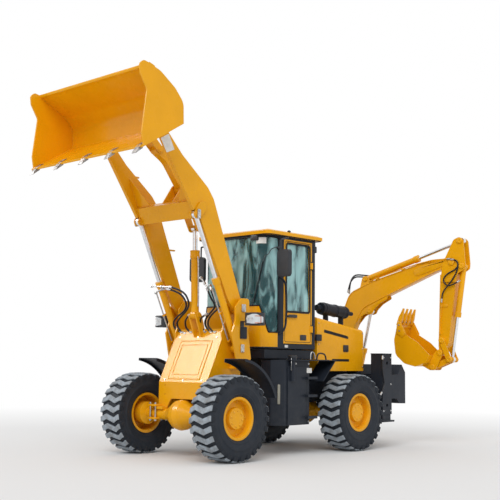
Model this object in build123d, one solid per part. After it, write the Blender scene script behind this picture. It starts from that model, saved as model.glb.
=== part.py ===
from build123d import *
import math
import os

# A backhoe loader: a machine hinged at its middle, with a loader in front and a side-shift digger behind.
# Lengths are millimetres. +X is forward, +Y is left and +Z is up.
# The machine is modelled from the ground point half-way between its axles.

# Running gear
wheelbase = 2500
track = 1710
tyre_radius = 540
tyre_width = 390
tread_depth = 34
lug_count = 26
lug_share = 0.55
lug_bend = 13
rim_flange_radius = 268
rim_seat_radius = 250
rim_width = 310
hub_cap_radius = 140
axle_tube_radius = 75
diff_radius = 200
hub_bore_radius = 60
running_gap = 0.3
side_gap = 6

# The front half is drawn with its axle this far ahead of the hinge, and moves with the real axle
drawn_axle_x = 1250
front_shift = wheelbase / 2 - drawn_axle_x

# Side-view pivots of the loader, as (x, z)
arm_pivot = (793, 1937)
lift_base = (805, 1410)
lift_eye = (1600, 3090)
bucket_pivot = (2270, 4165)
rocker_pivot = (1335, 3510)
rocker_rod_pin = (1085, 3010)
rocker_link_pin = (1800, 3965)
bucket_link_pin = (2340, 4430)
tilt_base = (1057, 1851)

# Loader sections
frame_half = 450
tie_down = (-600, 800)
tie_down_radius = 25
cheek_plate = 22
tower_outer = 645
tower_plate = 25
arm_inner = 515
arm_outer = 565
cylinder_side = 540
cross_tube_centre = (1567, 3182)
cross_tube_angle = 65
cross_tube_height = 225
cross_tube_depth = 150
rocker_half = 50
prong_inner = 66
prong_outer = 84
rocker_ear = 18
link_inner = 56
link_plate = 16
pin_radius = 35
small_pin_radius = 30
bucket_half = 1080
bucket_side_plate = 20
bucket_skin = 14

# Cylinders: barrel radius, rod radius and barrel length
lift_barrel_radius = 45
lift_rod_radius = 27
lift_barrel_length = 991
tilt_barrel_radius = 52
tilt_rod_radius = 30
tilt_barrel_length = 861

# Steering hinge and rear frame
steer_x = 0
steer_pin_radius = 40
steer_lug_thickness = 60
steer_lug_heights = (530, 830)
chassis_half = 405
chassis_plate = 25
chassis_bottom = 660
chassis_top = 1105
chassis_rear = -2060

# Cab
cab_half = 620
cab_front = 360
cab_rear = -730
cab_bottom = 1420
cab_top = 3015
cab_corner = 220
cab_wall = 30
glass_thickness = 6
door_front = -32
door_rear = -640
door_bottom = 1492
door_top = 2932
door_thickness = 32
door_gap = 6
hinge_x = -628
hinge_y = 634
hinge_pin_radius = 6
door_hinge_heights = (1700, 2600)
window_bottom = 1935
roof_thickness = 45
cab_eaves = cab_top - roof_thickness
roof_half = 696
roof_front = 382
roof_rear = -820

# Step plates stop short of the front half when it is steered hard over
tread_front = 130

# Engine hood
hood_front = -790
hood_rear = -1930
hood_half = 600
hood_bottom = 1118
hood_top_front = 1885
hood_top_rear = 1727
hood_sheet = 15

# Rear slide frame and legs
slide_half = 1000
slide_rear = -2420
leg_front = -1830
leg_rear = -2060
leg_inner = 790
leg_top = 1370
leg_sleeve_bottom = 490
leg_wall = 12
leg_gap = 0.5
leg_foot = 380
leg_hole_radius = 25

# Digger: swing post place, boom heading, and pivots as (distance from the post, z)
post_x = -2740
post_y = -500
boom_heading = 95
boom_foot = (110, 1500)
boom_tip = (2080, 2785)
boom_cylinder_base = (335, 860)
boom_cylinder_eye = (613, 2079)
dipper_cylinder_base = (539, 2595)
dipper_cylinder_eye = (2218, 3107)
dig_bucket_pivot = (1868, 1409)
dig_cylinder_base = (2245, 2718)
dig_rod_pin = (2029, 1306)
dig_rocker_pivot = (1909, 1593)
dig_link_pin = (1739, 1189)
boom_half = 68
dipper_half = 75
dipper_ear = (74, 92)
dig_ear = (81, 97)
dig_rocker_side = (103, 117)
dig_bucket_half = 220
dig_barrel_radius = 48
dig_rod_radius = 25
boom_barrel_length = 634
dipper_barrel_length = 988
dig_barrel_length = 782
post_pin_radius = 40
post_lug_thickness = 60
post_lug_heights = (750, 1130)


# Shapes in a side view are drawn as (x, z) and have thickness along Y.
def rounded(points):
    """A face from corners given as (x, z, corner radius)."""
    corners = [(x, z) for x, z, radius in points]
    return make_face(FilletPolyline(*corners, radius=[radius for x, z, radius in points], close=True))


def disc(centre, radius):
    return Pos(centre[0], centre[1]) * Circle(radius)


def bar(start, end, start_radius, end_radius):
    """A link outline with a round end about each pin."""
    return make_hull(disc(start, start_radius).edges() + disc(end, end_radius).edges())


def slab(face, y_low, y_high):
    """The side-view face made solid between two Y values."""
    return extrude(Plane.XZ.offset(-y_high) * face, amount=y_high - y_low)


def pair(face, y_low, y_high):
    """Two like plates, one on each side of the centre plane."""
    left = slab(face, y_low, y_high)
    return left + mirror(left, about=Plane.XZ)


def rod(start, end, radius, y=0):
    """A round bar from one side-view point to another."""
    length = math.dist(start, end)
    direction = (end[0] - start[0], 0, end[1] - start[1])
    base = Plane(origin=(start[0], y, start[1]), z_dir=direction)
    return extrude(base * Circle(radius), amount=length)


def along(start, end, distance):
    """The side-view point at a distance from start, on the way to end."""
    share = distance / math.dist(start, end)
    return (start[0] + (end[0] - start[0]) * share, start[1] + (end[1] - start[1]) * share)


def box(x_low, x_high, y_low, y_high, z_low, z_high):
    middle = ((x_low + x_high) / 2, (y_low + y_high) / 2, (z_low + z_high) / 2)
    return Pos(*middle) * Box(x_high - x_low, y_high - y_low, z_high - z_low)


def both_sides(solid):
    return solid + mirror(solid, about=Plane.XZ)


def turned(profile, x, z):
    """A ring about an axle along Y, from (radius, y) corners."""
    face = make_face(Polyline(*profile, close=True))
    ring = revolve(Plane.XY * face, axis=Axis.Y)
    return Pos(x, 0, z) * ring


# Running gear
def tyre(x, side):
    """A carcass whose tread is a ring of flats, with a bent bar lug over each corner of it."""
    half = tyre_width / 2
    drum_half = half - 9
    bead = rim_flange_radius + 1
    sidewall = [
        (rim_seat_radius + running_gap, -rim_width / 2 + 14),
        (bead, -rim_width / 2 + 12.6),
        (bead, -rim_width / 2 - 4),
        (380, -half),
        (460, -drum_half + 1),
        (460, drum_half - 1),
        (380, half),
        (bead, rim_width / 2 + 4),
        (bead, rim_width / 2 - 12.6),
        (rim_seat_radius + running_gap, rim_width / 2 - 14),
    ]
    drum = Rot(0, 0, 90) * RegularPolygon(radius=tyre_radius - tread_depth, side_count=lug_count) - Circle(459)
    land = 2 * math.pi * tyre_radius / lug_count * lug_share
    shoulder = [
        (-drum_half, 440), (-drum_half, tyre_radius - 24), (-drum_half + 30, tyre_radius),
        (drum_half - 30, tyre_radius), (drum_half, tyre_radius - 24), (drum_half, 440),
    ]
    outline = []
    for across, around in ((-1, -1), (0, 1), (1, -1)):
        outline.append((across * drum_half, land / 2 + around * lug_bend))
    for across, around in ((1, -1), (0, 1), (-1, -1)):
        outline.append((across * drum_half, -land / 2 + around * lug_bend))
    lug_foot = Plane(origin=(0, 0, 470), x_dir=(0, 1, 0), z_dir=(0, 0, 1))
    lug = extrude(lug_foot * make_face(Polyline(*outline, close=True)), amount=100)
    lug = lug & extrude(Plane.YZ.offset(-100) * make_face(Polyline(*shoulder, close=True)), amount=200)
    lugs = [Rot(0, 360 / lug_count * step, 0) * lug for step in range(lug_count)]
    body = slab(drum, -drum_half, drum_half).fuse(*lugs) + turned(sidewall, 0, 0)
    return Pos(x, side * track / 2, tyre_radius) * body


def rim(x, side):
    edge = rim_width / 2
    sheet = 12
    dish = 55
    cap = 118
    barrel = [
        (rim_seat_radius - sheet, -edge),
        (rim_flange_radius, -edge),
        (rim_flange_radius, -edge + sheet),
        (rim_seat_radius, -edge + sheet + 1),
        (rim_seat_radius, edge - sheet - 1),
        (rim_flange_radius, edge - sheet),
        (rim_flange_radius, edge),
        (rim_seat_radius - sheet, edge),
        (rim_seat_radius - 2 * sheet, edge - 30),
        (rim_seat_radius - 2 * sheet, -edge + 30),
    ]
    disc_and_hub = [
        (hub_bore_radius + running_gap, -60),
        (120, -60),
        (128, dish - 20),
        (rim_seat_radius - 2 * sheet + 1, dish - 20),
        (rim_seat_radius - 2 * sheet + 1, dish),
        (hub_cap_radius + 30, dish + 8),
        (hub_cap_radius, dish + 14),
        (hub_cap_radius - 12, cap),
        (0, cap),
        (0, 20),
        (hub_bore_radius + running_gap, 20),
    ]
    solid = turned(barrel, x, tyre_radius) + turned(disc_and_hub, x, tyre_radius)
    solid = solid if side > 0 else mirror(solid, about=Plane.XZ)
    return Pos(0, side * track / 2, 0) * solid


def axle(x):
    hub_end = track / 2 - 66
    stub_end = track / 2 + 14
    half_profile = [
        (0, 0),
        (diff_radius, 0),
        (diff_radius * 0.94, 70),
        (diff_radius * 0.72, 140),
        (110, 200),
        (axle_tube_radius, 260),
        (axle_tube_radius, hub_end - 150),
        (150, hub_end - 120),
        (150, hub_end),
        (hub_bore_radius, hub_end),
        (hub_bore_radius, stub_end),
        (0, stub_end),
    ]
    return both_sides(turned(half_profile, x, tyre_radius))


def axle_pads(x, top):
    """Spring-less saddles that join an axle tube to the frame above."""
    low = tyre_radius + axle_tube_radius - 12
    saddle = box(x - 90, x + 90, 300, 440, low, top)
    return both_sides(saddle)


def axle_clearance(x):
    """The room that an axle takes out of the frame it bears on."""
    return slab(disc((x, tyre_radius), axle_tube_radius), -500, 500)


# Front half
def front_frame():
    cheek = [
        (1268, 600, 0), (1268, 959, 0), (1000, 1536, 0), (1002, 1619, 30), (945, 1769, 20), (948, 1951, 40),
        (845, 2062, 40), (694, 2062, 40), (680, 1726, 30), (709, 1661, 30), (644, 1290, 30), (642, 620, 30),
        (740, 560, 60), (1000, 600, 60),
    ]
    tower = [
        (647, 1271, 25), (709, 1661, 20), (680, 1726, 20), (694, 2062, 45), (842, 2062, 45), (948, 1951, 30),
        (945, 1769, 25), (1002, 1619, 30), (912, 1211, 20), (860, 1130, 20),
    ]
    cheeks = pair(rounded(cheek), frame_half - cheek_plate, frame_half)
    towers = pair(rounded(tower), tower_outer - tower_plate, tower_outer)
    rear_web = bar((668, 1290), (716, 1610), 7, 7)
    low_web = bar((668, 1285), (858, 1150), 7, 7)
    webs = pair(rear_web + low_web, frame_half - 1, tower_outer - tower_plate + 1)
    cover = slab(bar((1258, 955), (938, 1644), 9, 9), -frame_half + 1, frame_half - 1)
    raised = slab(bar((1244, 1000), (1010, 1504), 8, 8), -300, 300)
    nose = box(1246, 1268, -frame_half + 1, frame_half - 1, 600, 965)
    axle_window = Plane.YZ.offset(1200) * rounded_window()
    nose = nose - extrude(axle_window, amount=100)
    top_plate = box(716, 960, -frame_half + 1, frame_half - 1, 1640, 1662)
    back_plate = slab(bar((650, 1290), (715, 1640), 9, 9), -frame_half + 1, frame_half - 1)
    spine = box(steer_x - front_shift + 130, 660, -140, 140, 480, 1000)
    belly = box(652, 800, -frame_half + 1, frame_half - 1, 640, 660)
    bulkhead = box(652, 674, -frame_half + 1, frame_half - 1, 640, 1296)
    brace_plan = Polygon((540, 139), (654, 139), (654, 390), align=None)
    braces = both_sides(extrude(Pos(0, 0, 560) * brace_plan, amount=24) + extrude(Pos(0, 0, 960) * brace_plan, amount=24))
    clevis = rounded([
        (900, 1655, 0), (975, 1545, 0), (1010, 1570, 30), (1116, 1850, 0), (1057, 1912, 50), (1000, 1850, 30),
        (940, 1662, 20),
    ])
    clevis_plates = pair(clevis, 52, 72)
    solid = cheeks + towers + webs + cover + raised + nose + top_plate + back_plate + spine + belly + braces
    solid = solid + bulkhead + clevis_plates
    for z in steer_lug_heights:
        hinge = Pos(steer_x - front_shift, 0, z)
        lug = hinge * (Cylinder(85, steer_lug_thickness) + Pos(80, 0, 0) * Box(160, 166, steer_lug_thickness))
        solid = solid + lug - hinge * Cylinder(steer_pin_radius + running_gap, 2 * steer_lug_thickness)
    for centre in (arm_pivot, lift_base):
        solid = solid + pair(disc(centre, pin_radius), frame_half - 2, tower_outer + 8)
        solid = solid + pair(disc(centre, pin_radius + 18), tower_outer - 1, tower_outer + 8)
    solid = solid + slab(disc(tilt_base, small_pin_radius), -84, 84)
    solid = solid + axle_pads(drawn_axle_x, 640)
    for y in (-330, 330):
        for z in (800, 920):
            solid = solid - Pos(1257, y, z) * Rot(0, 90, 0) * Cylinder(9, 60)
    return solid - axle_clearance(drawn_axle_x)


def rounded_window():
    """The opening over the front differential, drawn as (y, z)."""
    corners = [(-330, 560), (-210, 745), (210, 745), (330, 560)]
    return make_face(FilletPolyline(*corners, radius=[0, 40, 40, 0], close=True))


def front_fender():
    middle = drawn_axle_x
    inner = 735
    thickness = 8
    ring = disc((middle, tyre_radius), inner + thickness) - disc((middle, tyre_radius), inner)
    lip = disc((middle, tyre_radius), inner + 1) - disc((middle, tyre_radius), inner - 28)
    wedge = Polygon(
        (middle, tyre_radius), (middle - 222, tyre_radius + 1500), (middle - 1500, tyre_radius + 1500),
        (middle - 1500, tyre_radius + 520), align=None,
    )
    inner_edge = tower_outer + running_gap
    skin = slab(ring & wedge, inner_edge, 1020) + slab(lip & wedge, 1008, 1020)
    rib = (disc((middle, tyre_radius), inner + 4) - disc((middle, tyre_radius), inner - 40)) & wedge
    skin = skin + slab(rib, inner_edge, inner_edge + 8)
    return both_sides(skin)


def loader_arms():
    outline = [
        (700, 1960, 0), (779, 2068, 60), (1139, 2927, 300), (1301, 3320, 200), (1409, 3457, 200),
        (1871, 3814, 300), (2103, 4048, 0), (2212, 4200, 30), (2325, 4120, 30), (2165, 3877, 150),
        (1645, 3126, 0), (1534, 3046, 0), (1226, 2448, 300), (1010, 2032, 60), (890, 1900, 40),
    ]
    plate = rounded(outline) + disc(arm_pivot, 92) + disc(bucket_pivot, 72)
    notch = disc(lift_eye, 70)
    arms = pair(plate - notch, arm_inner, arm_outer)
    arms = arms + pair(disc(arm_pivot, 72), frame_half + side_gap, tower_outer - tower_plate - side_gap)
    arms = arms + pair(disc(bucket_pivot, 66), 498, 582)
    eye_ear = bar(lift_eye, (lift_eye[0] - 75, lift_eye[1] + 95), 58, 70)
    arms = arms + pair(eye_ear, 490, arm_inner - 3) + pair(eye_ear, arm_outer + 3, 590)
    root = disc((lift_eye[0] - 100, lift_eye[1] + 125), 42)
    arms = arms + pair(root, 490, 590)
    arms = arms + pair(disc(lift_eye, 40), 588, 600) + pair(disc(lift_eye, 40), 480, 492)
    turn = Rot(0, 0, cross_tube_angle)
    tube = Pos(cross_tube_centre[0], cross_tube_centre[1]) * turn * Rectangle(cross_tube_height, cross_tube_depth)
    arms = arms + slab(tube, -arm_inner - 2, arm_inner + 2)
    arms = arms - pair(notch, arm_inner - 4, arm_inner + 10)
    arms = arms + gussets()
    ear = rounded([
        (1615, 3262, 0), (1425, 3545, 60), (1335, 3596, 60), (1250, 3500, 60), (1465, 3150, 0),
    ])
    arms = arms + pair(ear, prong_outer + side_gap, prong_outer + side_gap + rocker_ear)
    arms = arms + slab(disc(rocker_pivot, pin_radius), -prong_outer - 30, prong_outer + 30)
    bore = slab(disc(arm_pivot, pin_radius + running_gap), -700, 700)
    bore = bore + slab(disc(bucket_pivot, pin_radius + running_gap), -700, 700)
    return arms - bore


def gussets():
    """Triangular plates that brace each arm to the top of the cross tube."""
    angle = math.radians(cross_tube_angle)
    up = (math.cos(angle), 0, math.sin(angle))
    top = (
        cross_tube_centre[0] + up[0] * (cross_tube_height / 2 - 4) + math.sin(angle) * 40,
        0,
        cross_tube_centre[1] + up[2] * (cross_tube_height / 2 - 4) - math.cos(angle) * 40,
    )
    sheet = Plane(origin=top, x_dir=(0, 1, 0), z_dir=(-math.sin(angle), 0, math.cos(angle)))
    corners = [(270, 0), (arm_inner + 2, 0), (arm_inner + 2, -430)]
    if (sheet.y_dir.X * up[0] + sheet.y_dir.Z * up[2]) > 0:
        corners = [(270, 0), (arm_inner + 2, 0), (arm_inner + 2, 430)]
    plate = extrude(sheet * make_face(Polyline(*corners, close=True)), amount=16)
    return both_sides(plate)


def rocker():
    """The curved lever between the tilt cylinder and the bucket link."""
    px, pz = rocker_pivot
    qx, qz = rocker_link_pin
    upper = [
        (px - 40, pz + 62, 40), (px + 190, pz + 330, 260), (qx - 40, qz + 62, 40), (qx + 62, qz + 10, 40),
        (qx + 20, qz - 62, 30), (px + 330, pz + 310, 320), (px + 68, pz - 20, 40),
    ]
    hub = disc(rocker_pivot, 72)
    body = slab(rounded(upper) + hub + disc(rocker_link_pin, 58), -rocker_half, rocker_half)
    body = body + slab(hub, -prong_outer, prong_outer)
    prong = bar(rocker_pivot, rocker_rod_pin, 66, 50)
    body = body + pair(prong, prong_inner, prong_outer)
    body = body + pair(disc(rocker_rod_pin, 34), prong_outer - 1, prong_outer + 10)
    return body - slab(disc(rocker_pivot, pin_radius + running_gap), -200, 200)


def bucket_link():
    """Two plates that straddle the lever's end and ride on the bucket's upper pin."""
    plate = bar(rocker_link_pin, bucket_link_pin, 50, 50)
    side = link_inner + link_plate
    solid = pair(plate, link_inner, side)
    spacer = along(bucket_link_pin, rocker_link_pin, 200)
    solid = solid + slab(disc(spacer, 25), -side, side)
    solid = solid + pair(disc(rocker_link_pin, 36), side - 1, side + 10)
    return solid - slab(disc(bucket_link_pin, small_pin_radius + running_gap), -200, 200)


def loader_bucket():
    far = 400
    lip = (2950, 3657)
    heel = (2339, 4036)
    crown = (2901, 4649)
    floor_step = ((lip[0] - heel[0]) / math.dist(lip, heel), (lip[1] - heel[1]) / math.dist(lip, heel))
    shell = [
        (lip[0] + floor_step[0] * far, lip[1] + floor_step[1] * far, 0),
        (heel[0], heel[1], 12),
        (2345, 4290, 170),
        (2480, 4436, 200),
        (crown[0], crown[1], 0),
        (crown[0] + 400, crown[1] + 130, 0),
    ]
    outer = rounded(shell)
    skin = outer - offset(outer, amount=-bucket_skin)
    mouth = Polygon(
        lip, (2890, 4700), (3700, 5100), (3900, 2900), align=None,
    )
    wrapper = slab(skin - mouth, -bucket_half + 2, bucket_half - 2)
    side = rounded([
        (2950, 3657, 0), (2983, 3826, 20), (2921, 4332, 60), (3027, 4502, 60), (3042, 4610, 45), (2985, 4664, 45),
        (2901, 4649, 60), (2720, 4593, 200), (2480, 4436, 200), (2383, 4318, 100), (2345, 4204, 60), (2339, 4036, 4),
    ])
    bucket = wrapper + pair(side, bucket_half - bucket_side_plate, bucket_half)
    bucket = bucket + loader_bucket_lip()
    rim_bar = rounded([(2905, 4662, 8), (2895, 4622, 8), (2815, 4597, 8), (2808, 4631, 8)])
    bucket = bucket + slab(rim_bar, -bucket_half + 1, bucket_half - 1)
    ear = rounded([
        (2342, 4045, 0), (2375, 4100, 0), (2375, 4310, 0), (2250, 4238, 50), (2200, 4170, 60), (2262, 4094, 60),
    ])
    hollow = offset(outer, amount=-bucket_skin)
    ear = ear - hollow
    bucket = bucket + pair(ear, 472, 490) + pair(ear, 590, 608)
    bucket = bucket + pair(disc(bucket_pivot, pin_radius), 470, 612)
    bucket = bucket + pair(disc(bucket_pivot, 52), 608, 618)
    top_ear = rounded([
        (2355, 4270, 0), (2420, 4310, 0), (2520, 4400, 0), (2580, 4492, 0), (2385, 4490, 50), (2286, 4440, 45),
    ]) - hollow
    inner = link_inner + link_plate + side_gap
    bucket = bucket + pair(top_ear, inner, inner + 20)
    bucket = bucket + slab(disc(bucket_link_pin, small_pin_radius), -inner - 30, inner + 30)
    return bucket


def loader_bucket_lip():
    edge = rounded([(2968, 3646, 0), (2790, 3756, 0), (2803, 3777, 0), (2978, 3668, 0)])
    return slab(edge, -bucket_half + 1, bucket_half - 1)


def bucket_teeth():
    """Five bolted teeth, each a wedge that clasps the cutting edge."""
    wedge = [(3040, 3566, 3), (3012, 3612, 8), (2960, 3682, 10), (2880, 3739, 6), (2875, 3731, 0), (2962, 3672.5, 0),
             (2971, 3645.5, 0), (2935, 3662, 0), (2925, 3650, 4), (2990, 3604, 10)]
    tooth = slab(rounded(wedge), -38, 38)
    spacing = (2 * bucket_half - 160) / 4
    lip = loader_bucket_lip()
    teeth = [Pos(0, spacing * step, 0) * (tooth - lip) for step in (-2, -1, 0, 1, 2)]
    return teeth


def barrel(base, eye, radius, length, y, base_radius, base_width, pin, gland_length=78, gland_extra=9):
    """A cylinder's tube with its base eye and gland."""
    solid = rod(along(base, eye, base_radius * 0.6), along(base, eye, length), radius, y)
    solid = solid + rod(along(base, eye, length - gland_length), along(base, eye, length), radius + gland_extra, y)
    solid = solid + slab(disc(base, base_radius), y - base_width / 2, y + base_width / 2)
    return solid - slab(disc(base, pin + running_gap), y - 200, y + 200)


def hollowed(solid, base, eye, length, rod_radius, y, depth):
    """The tube's bore, which the rod slides in."""
    cut = rod(along(base, eye, depth), along(base, eye, length + 50), rod_radius + running_gap, y)
    return solid - cut


def piston_rod(base, eye, start, radius, y, eye_radius, eye_width, pin):
    """A rod from inside its tube out to its eye."""
    solid = rod(along(base, eye, start), eye, radius, y)
    solid = solid + slab(disc(eye, eye_radius), y - eye_width / 2, y + eye_width / 2)
    return solid - slab(disc(eye, pin), y - 200, y + 200)


def lift_barrels():
    solid = barrel(lift_base, lift_eye, lift_barrel_radius, lift_barrel_length, cylinder_side, 60, 100, pin_radius)
    solid = hollowed(solid, lift_base, lift_eye, lift_barrel_length, lift_rod_radius, cylinder_side, 90)
    return both_sides(solid)


def lift_rods():
    start = lift_barrel_length - 60
    solid = piston_rod(lift_base, lift_eye, start, lift_rod_radius, cylinder_side, 52, 40, small_pin_radius)
    return both_sides(solid)


def tilt_barrel():
    solid = barrel(tilt_base, rocker_rod_pin, tilt_barrel_radius, tilt_barrel_length, 0, 55, 90, small_pin_radius,
                   gland_length=95, gland_extra=7)
    return hollowed(solid, tilt_base, rocker_rod_pin, tilt_barrel_length, tilt_rod_radius, 0, 90)


def tilt_rod():
    return piston_rod(tilt_base, rocker_rod_pin, 420, tilt_rod_radius, 0, 48, 60, small_pin_radius)


# Rear half
def rear_chassis():
    rail = rounded([
        (-120, 460, 0), (-120, 1105, 0), (chassis_rear, 1105, 0), (chassis_rear, chassis_bottom, 0),
        (-1700, chassis_bottom, 80), (-1500, 680, 80), (-1000, 680, 80), (-700, chassis_bottom, 60),
        (-420, 600, 80), (-330, 460, 40),
    ])
    solid = pair(rail, chassis_half - chassis_plate, chassis_half)
    solid = solid + box(-150, -120, -chassis_half + 1, chassis_half - 1, 460, 1105)
    solid = solid + box(chassis_rear, chassis_rear + 40, -chassis_half + 1, chassis_half - 1, chassis_bottom, 1105)
    solid = solid + box(-760, -720, -chassis_half + 1, chassis_half - 1, 760, 1105)
    solid = solid + box(-1790, -1750, -chassis_half + 1, chassis_half - 1, 760, 1105)
    for z in steer_lug_heights:
        for side in (-1, 1):
            middle = z + side * (steer_lug_thickness / 2 + 5 + 20)
            lug = Pos(steer_x, 0, middle) * (Cylinder(85, 40) + Pos(-65, 0, 0) * Box(130, 166, 40))
            solid = solid + lug
        solid = solid + Pos(steer_x, 0, z) * Cylinder(steer_pin_radius, steer_lug_thickness + 90)
    solid = solid + axle_pads(-wheelbase / 2, 690) - axle_clearance(-wheelbase / 2)
    for x in (-300, -640):
        solid = solid + both_sides(box(x - 40, x + 40, 300, chassis_half, 1100, cab_bottom - running_gap))
        solid = solid + both_sides(box(x - 38, x + 38, chassis_half - 2, 580, 1292, 1400))
    skirt = box(-712, 326, -592, 592, 1286, 1406) - box(-700, 314, -578, 578, 1280, 1410)
    solid = solid + skirt + box(-148, -122, -chassis_half + 2, chassis_half - 2, 1100, 1285)
    for x in (-900, -1800):
        solid = solid + both_sides(box(x - 40, x + 40, chassis_half - 2, hood_half, 1060, hood_bottom))
    return solid - slab(disc(tie_down, tie_down_radius), -500, 500)


def engine_block():
    block = box(-1740, -900, -280, 280, 800, 1560)
    for x in (-1100, -1600):
        block = block + both_sides(box(x - 60, x + 60, 279, chassis_half - 25, 850, 900))
    return block


def cab_plan(inset=0):
    corners = [
        (cab_rear + inset, -cab_half + inset), (cab_front - inset, -cab_half + inset),
        (cab_front - inset, cab_half - inset), (cab_rear + inset, cab_half - inset),
    ]
    bend = cab_corner - inset
    return make_face(FilletPolyline(*corners, radius=[30, bend, bend, 30], close=True))


def cab_wall_ring(inset, thickness):
    ring = cab_plan(inset) - cab_plan(inset + thickness)
    return extrude(Pos(0, 0, cab_bottom) * ring, amount=cab_eaves - cab_bottom)


def cab_frame():
    ring = cab_wall_ring(0, 45)
    post_front = box(door_front + door_gap, 90, -700, 700, cab_bottom, cab_eaves)
    post_rear = box(cab_rear - 1, door_rear - door_gap, 560, 700, cab_bottom, cab_eaves)
    post_rear = post_rear + mirror(post_rear, about=Plane.XZ) + box(cab_rear - 1, cab_rear + 60, -620, -540, cab_bottom, cab_eaves)
    sill = box(cab_rear - 1, cab_front + 1, -700, 700, cab_bottom, cab_bottom + 22)
    sill = sill + box(cab_rear - 1, 90, -700, 700, cab_bottom, door_bottom - door_gap)
    header = box(cab_rear - 1, cab_front + 1, -700, 700, door_top + door_gap, cab_eaves)
    frame = ring & (post_front + post_rear + sill + header)
    floor = extrude(Pos(0, 0, cab_bottom) * cab_plan(27), amount=30)
    for z in door_hinge_heights:
        for level in (z - 52, z + 52):
            frame = frame + box(door_rear - 30, door_rear - door_gap, cab_half - 2, hinge_y + 8, level - 6, level + 6)
            frame = frame + box(door_rear - 10, hinge_x + 8, cab_half + 5, hinge_y + 8, level - 6, level + 6)
        frame = frame + Pos(hinge_x, hinge_y, z) * Cylinder(hinge_pin_radius, 110)
    return frame + floor


def cab_panels():
    """Yellow lower sheets: the wrapped nose, the right side and the back."""
    ring = cab_wall_ring(0, 26)
    low = cab_bottom + 22 + running_gap
    nose = rounded([
        (90 + running_gap, low, 0), (cab_front + 5, low, 0), (cab_front + 5, 2000, 0), (335, 2000, 20),
        (250, 1640, 40), (90 + running_gap, 1640, 0),
    ])
    right = box(door_rear, door_front, -700, -500, door_bottom, window_bottom)
    back = box(cab_rear - 1, cab_rear + 80, -540, 540, door_bottom, 1900)
    return (ring & slab(nose, -700, 700)), (ring & right), (ring & back)


def cab_glass():
    ring = cab_wall_ring(8, glass_thickness)
    front = rounded([
        (90 + running_gap, 1640 + running_gap, 0), (250, 1640 + running_gap, 40), (335, 2000 + running_gap, 20),
        (cab_front + 5, 2000 + running_gap, 0), (cab_front + 5, door_top + door_gap - running_gap, 0),
        (90 + running_gap, door_top + door_gap - running_gap, 0),
    ])
    low = window_bottom + running_gap
    high = door_top + door_gap - running_gap
    right = box(door_rear, door_front, -700, -500, low, high)
    back = box(cab_rear - 1, cab_rear + 80, -535, 535, 1900 + running_gap, high)
    return (ring & slab(front, -700, 700)), (ring & right), (ring & back)


def cab_roof():
    plan = make_face(FilletPolyline(
        (roof_rear, -roof_half), (roof_front, -roof_half), (roof_front, roof_half), (roof_rear, roof_half),
        radius=[60, 90, 90, 60], close=True,
    ))
    low = cab_eaves
    slab_low = extrude(Pos(0, 0, low) * plan, amount=roof_thickness)
    crown = loft([Pos(0, 0, low + roof_thickness) * plan, Pos(0, 0, low + roof_thickness + 25) * offset(plan, amount=-70)])
    return slab_low + crown


def cab_door():
    outer = cab_half
    inner = cab_half - door_thickness
    leaf = box(door_rear, door_front, inner, outer, door_bottom, door_top)
    window = box(door_rear + 55, door_front - 55, inner - 5, outer + 5, window_bottom, door_top - 55)
    leaf = leaf - window
    for z in door_hinge_heights:
        knuckle = Pos(hinge_x, hinge_y, z) * Cylinder(12, 90)
        leaf = leaf + knuckle + box(door_rear + 4, door_rear + 40, outer - 1, outer + 10, z - 45, z + 45)
        leaf = leaf - Pos(hinge_x, hinge_y, z) * Cylinder(hinge_pin_radius + running_gap, 120)
    handle = box(door_front - 150, door_front - 40, outer - 1, outer + 26, 1880, 1900)
    return leaf + handle


def door_glass():
    inner = cab_half - door_thickness
    return box(door_rear + 55 + running_gap, door_front - 55 - running_gap, inner + 12, inner + 18,
               window_bottom + running_gap, door_top - 55 - running_gap)


def seat():
    base = box(-480, -120, -200, 200, cab_bottom + 30, 1650)
    cushion = box(-545, -60, -240, 240, 1640, 1740)
    back = slab(rounded([(-530, 1700, 0), (-425, 1700, 0), (-500, 2280, 40), (-590, 2280, 40)]), -230, 230)
    return base + cushion + back


def console():
    """Steering column and wheel with the lever box beside it."""
    box_low = box(120, 230, -150, 150, cab_bottom + 30, 1700)
    column = rod((175, 1690), (60, 2010), 28)
    wheel_plane = Plane(origin=(60, 0, 2010), z_dir=(-115, 0, 320))
    wheel = wheel_plane * Torus(190, 14)
    spoke = wheel_plane * (Box(380, 24, 14) + Box(24, 380, 14))
    return box_low + column + wheel + spoke


def tank_left():
    plan = make_face(FilletPolyline(
        (-360, 405), (180, 405), (300, 520), (300, 680), (180, 820), (-360, 820), radius=[5, 5, 5, 20, 20, 20], close=True,
    ))
    body = extrude(Pos(0, 0, 400) * plan, amount=864)
    tread = box(-780, tread_front, 420, 900, 1262, 1274) + box(-840, -779, 610, 900, 1262, 1274)
    wing = slab(bar((-834, 1267), (-560, 985), 5, 5), 610, 900)
    body = body + tread + wing
    body = body + box(-250, 120, 819, 838, 410, 1180)
    for z in (480, 770, 1010):
        body = body + box(-430, -230, 819, 900, z, z + 34)
    filler = Pos(45, 850, 1130) * Cylinder(36, 290) + Pos(45, 850, 1285) * Cylinder(58, 30)
    return body + filler


def tank_right():
    plan = make_face(FilletPolyline(
        (-360, -405), (180, -405), (300, -520), (300, -680), (180, -820), (-360, -820), radius=[5, 5, 5, 20, 20, 20],
        close=True,
    ))
    body = extrude(Pos(0, 0, 400) * plan, amount=864)
    tread = box(-780, tread_front, -900, -420, 1262, 1274) + box(-840, -779, -900, -610, 1262, 1274)
    wing = slab(bar((-834, 1267), (-560, 985), 5, 5), -900, -610)
    return body + tread + wing


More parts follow.
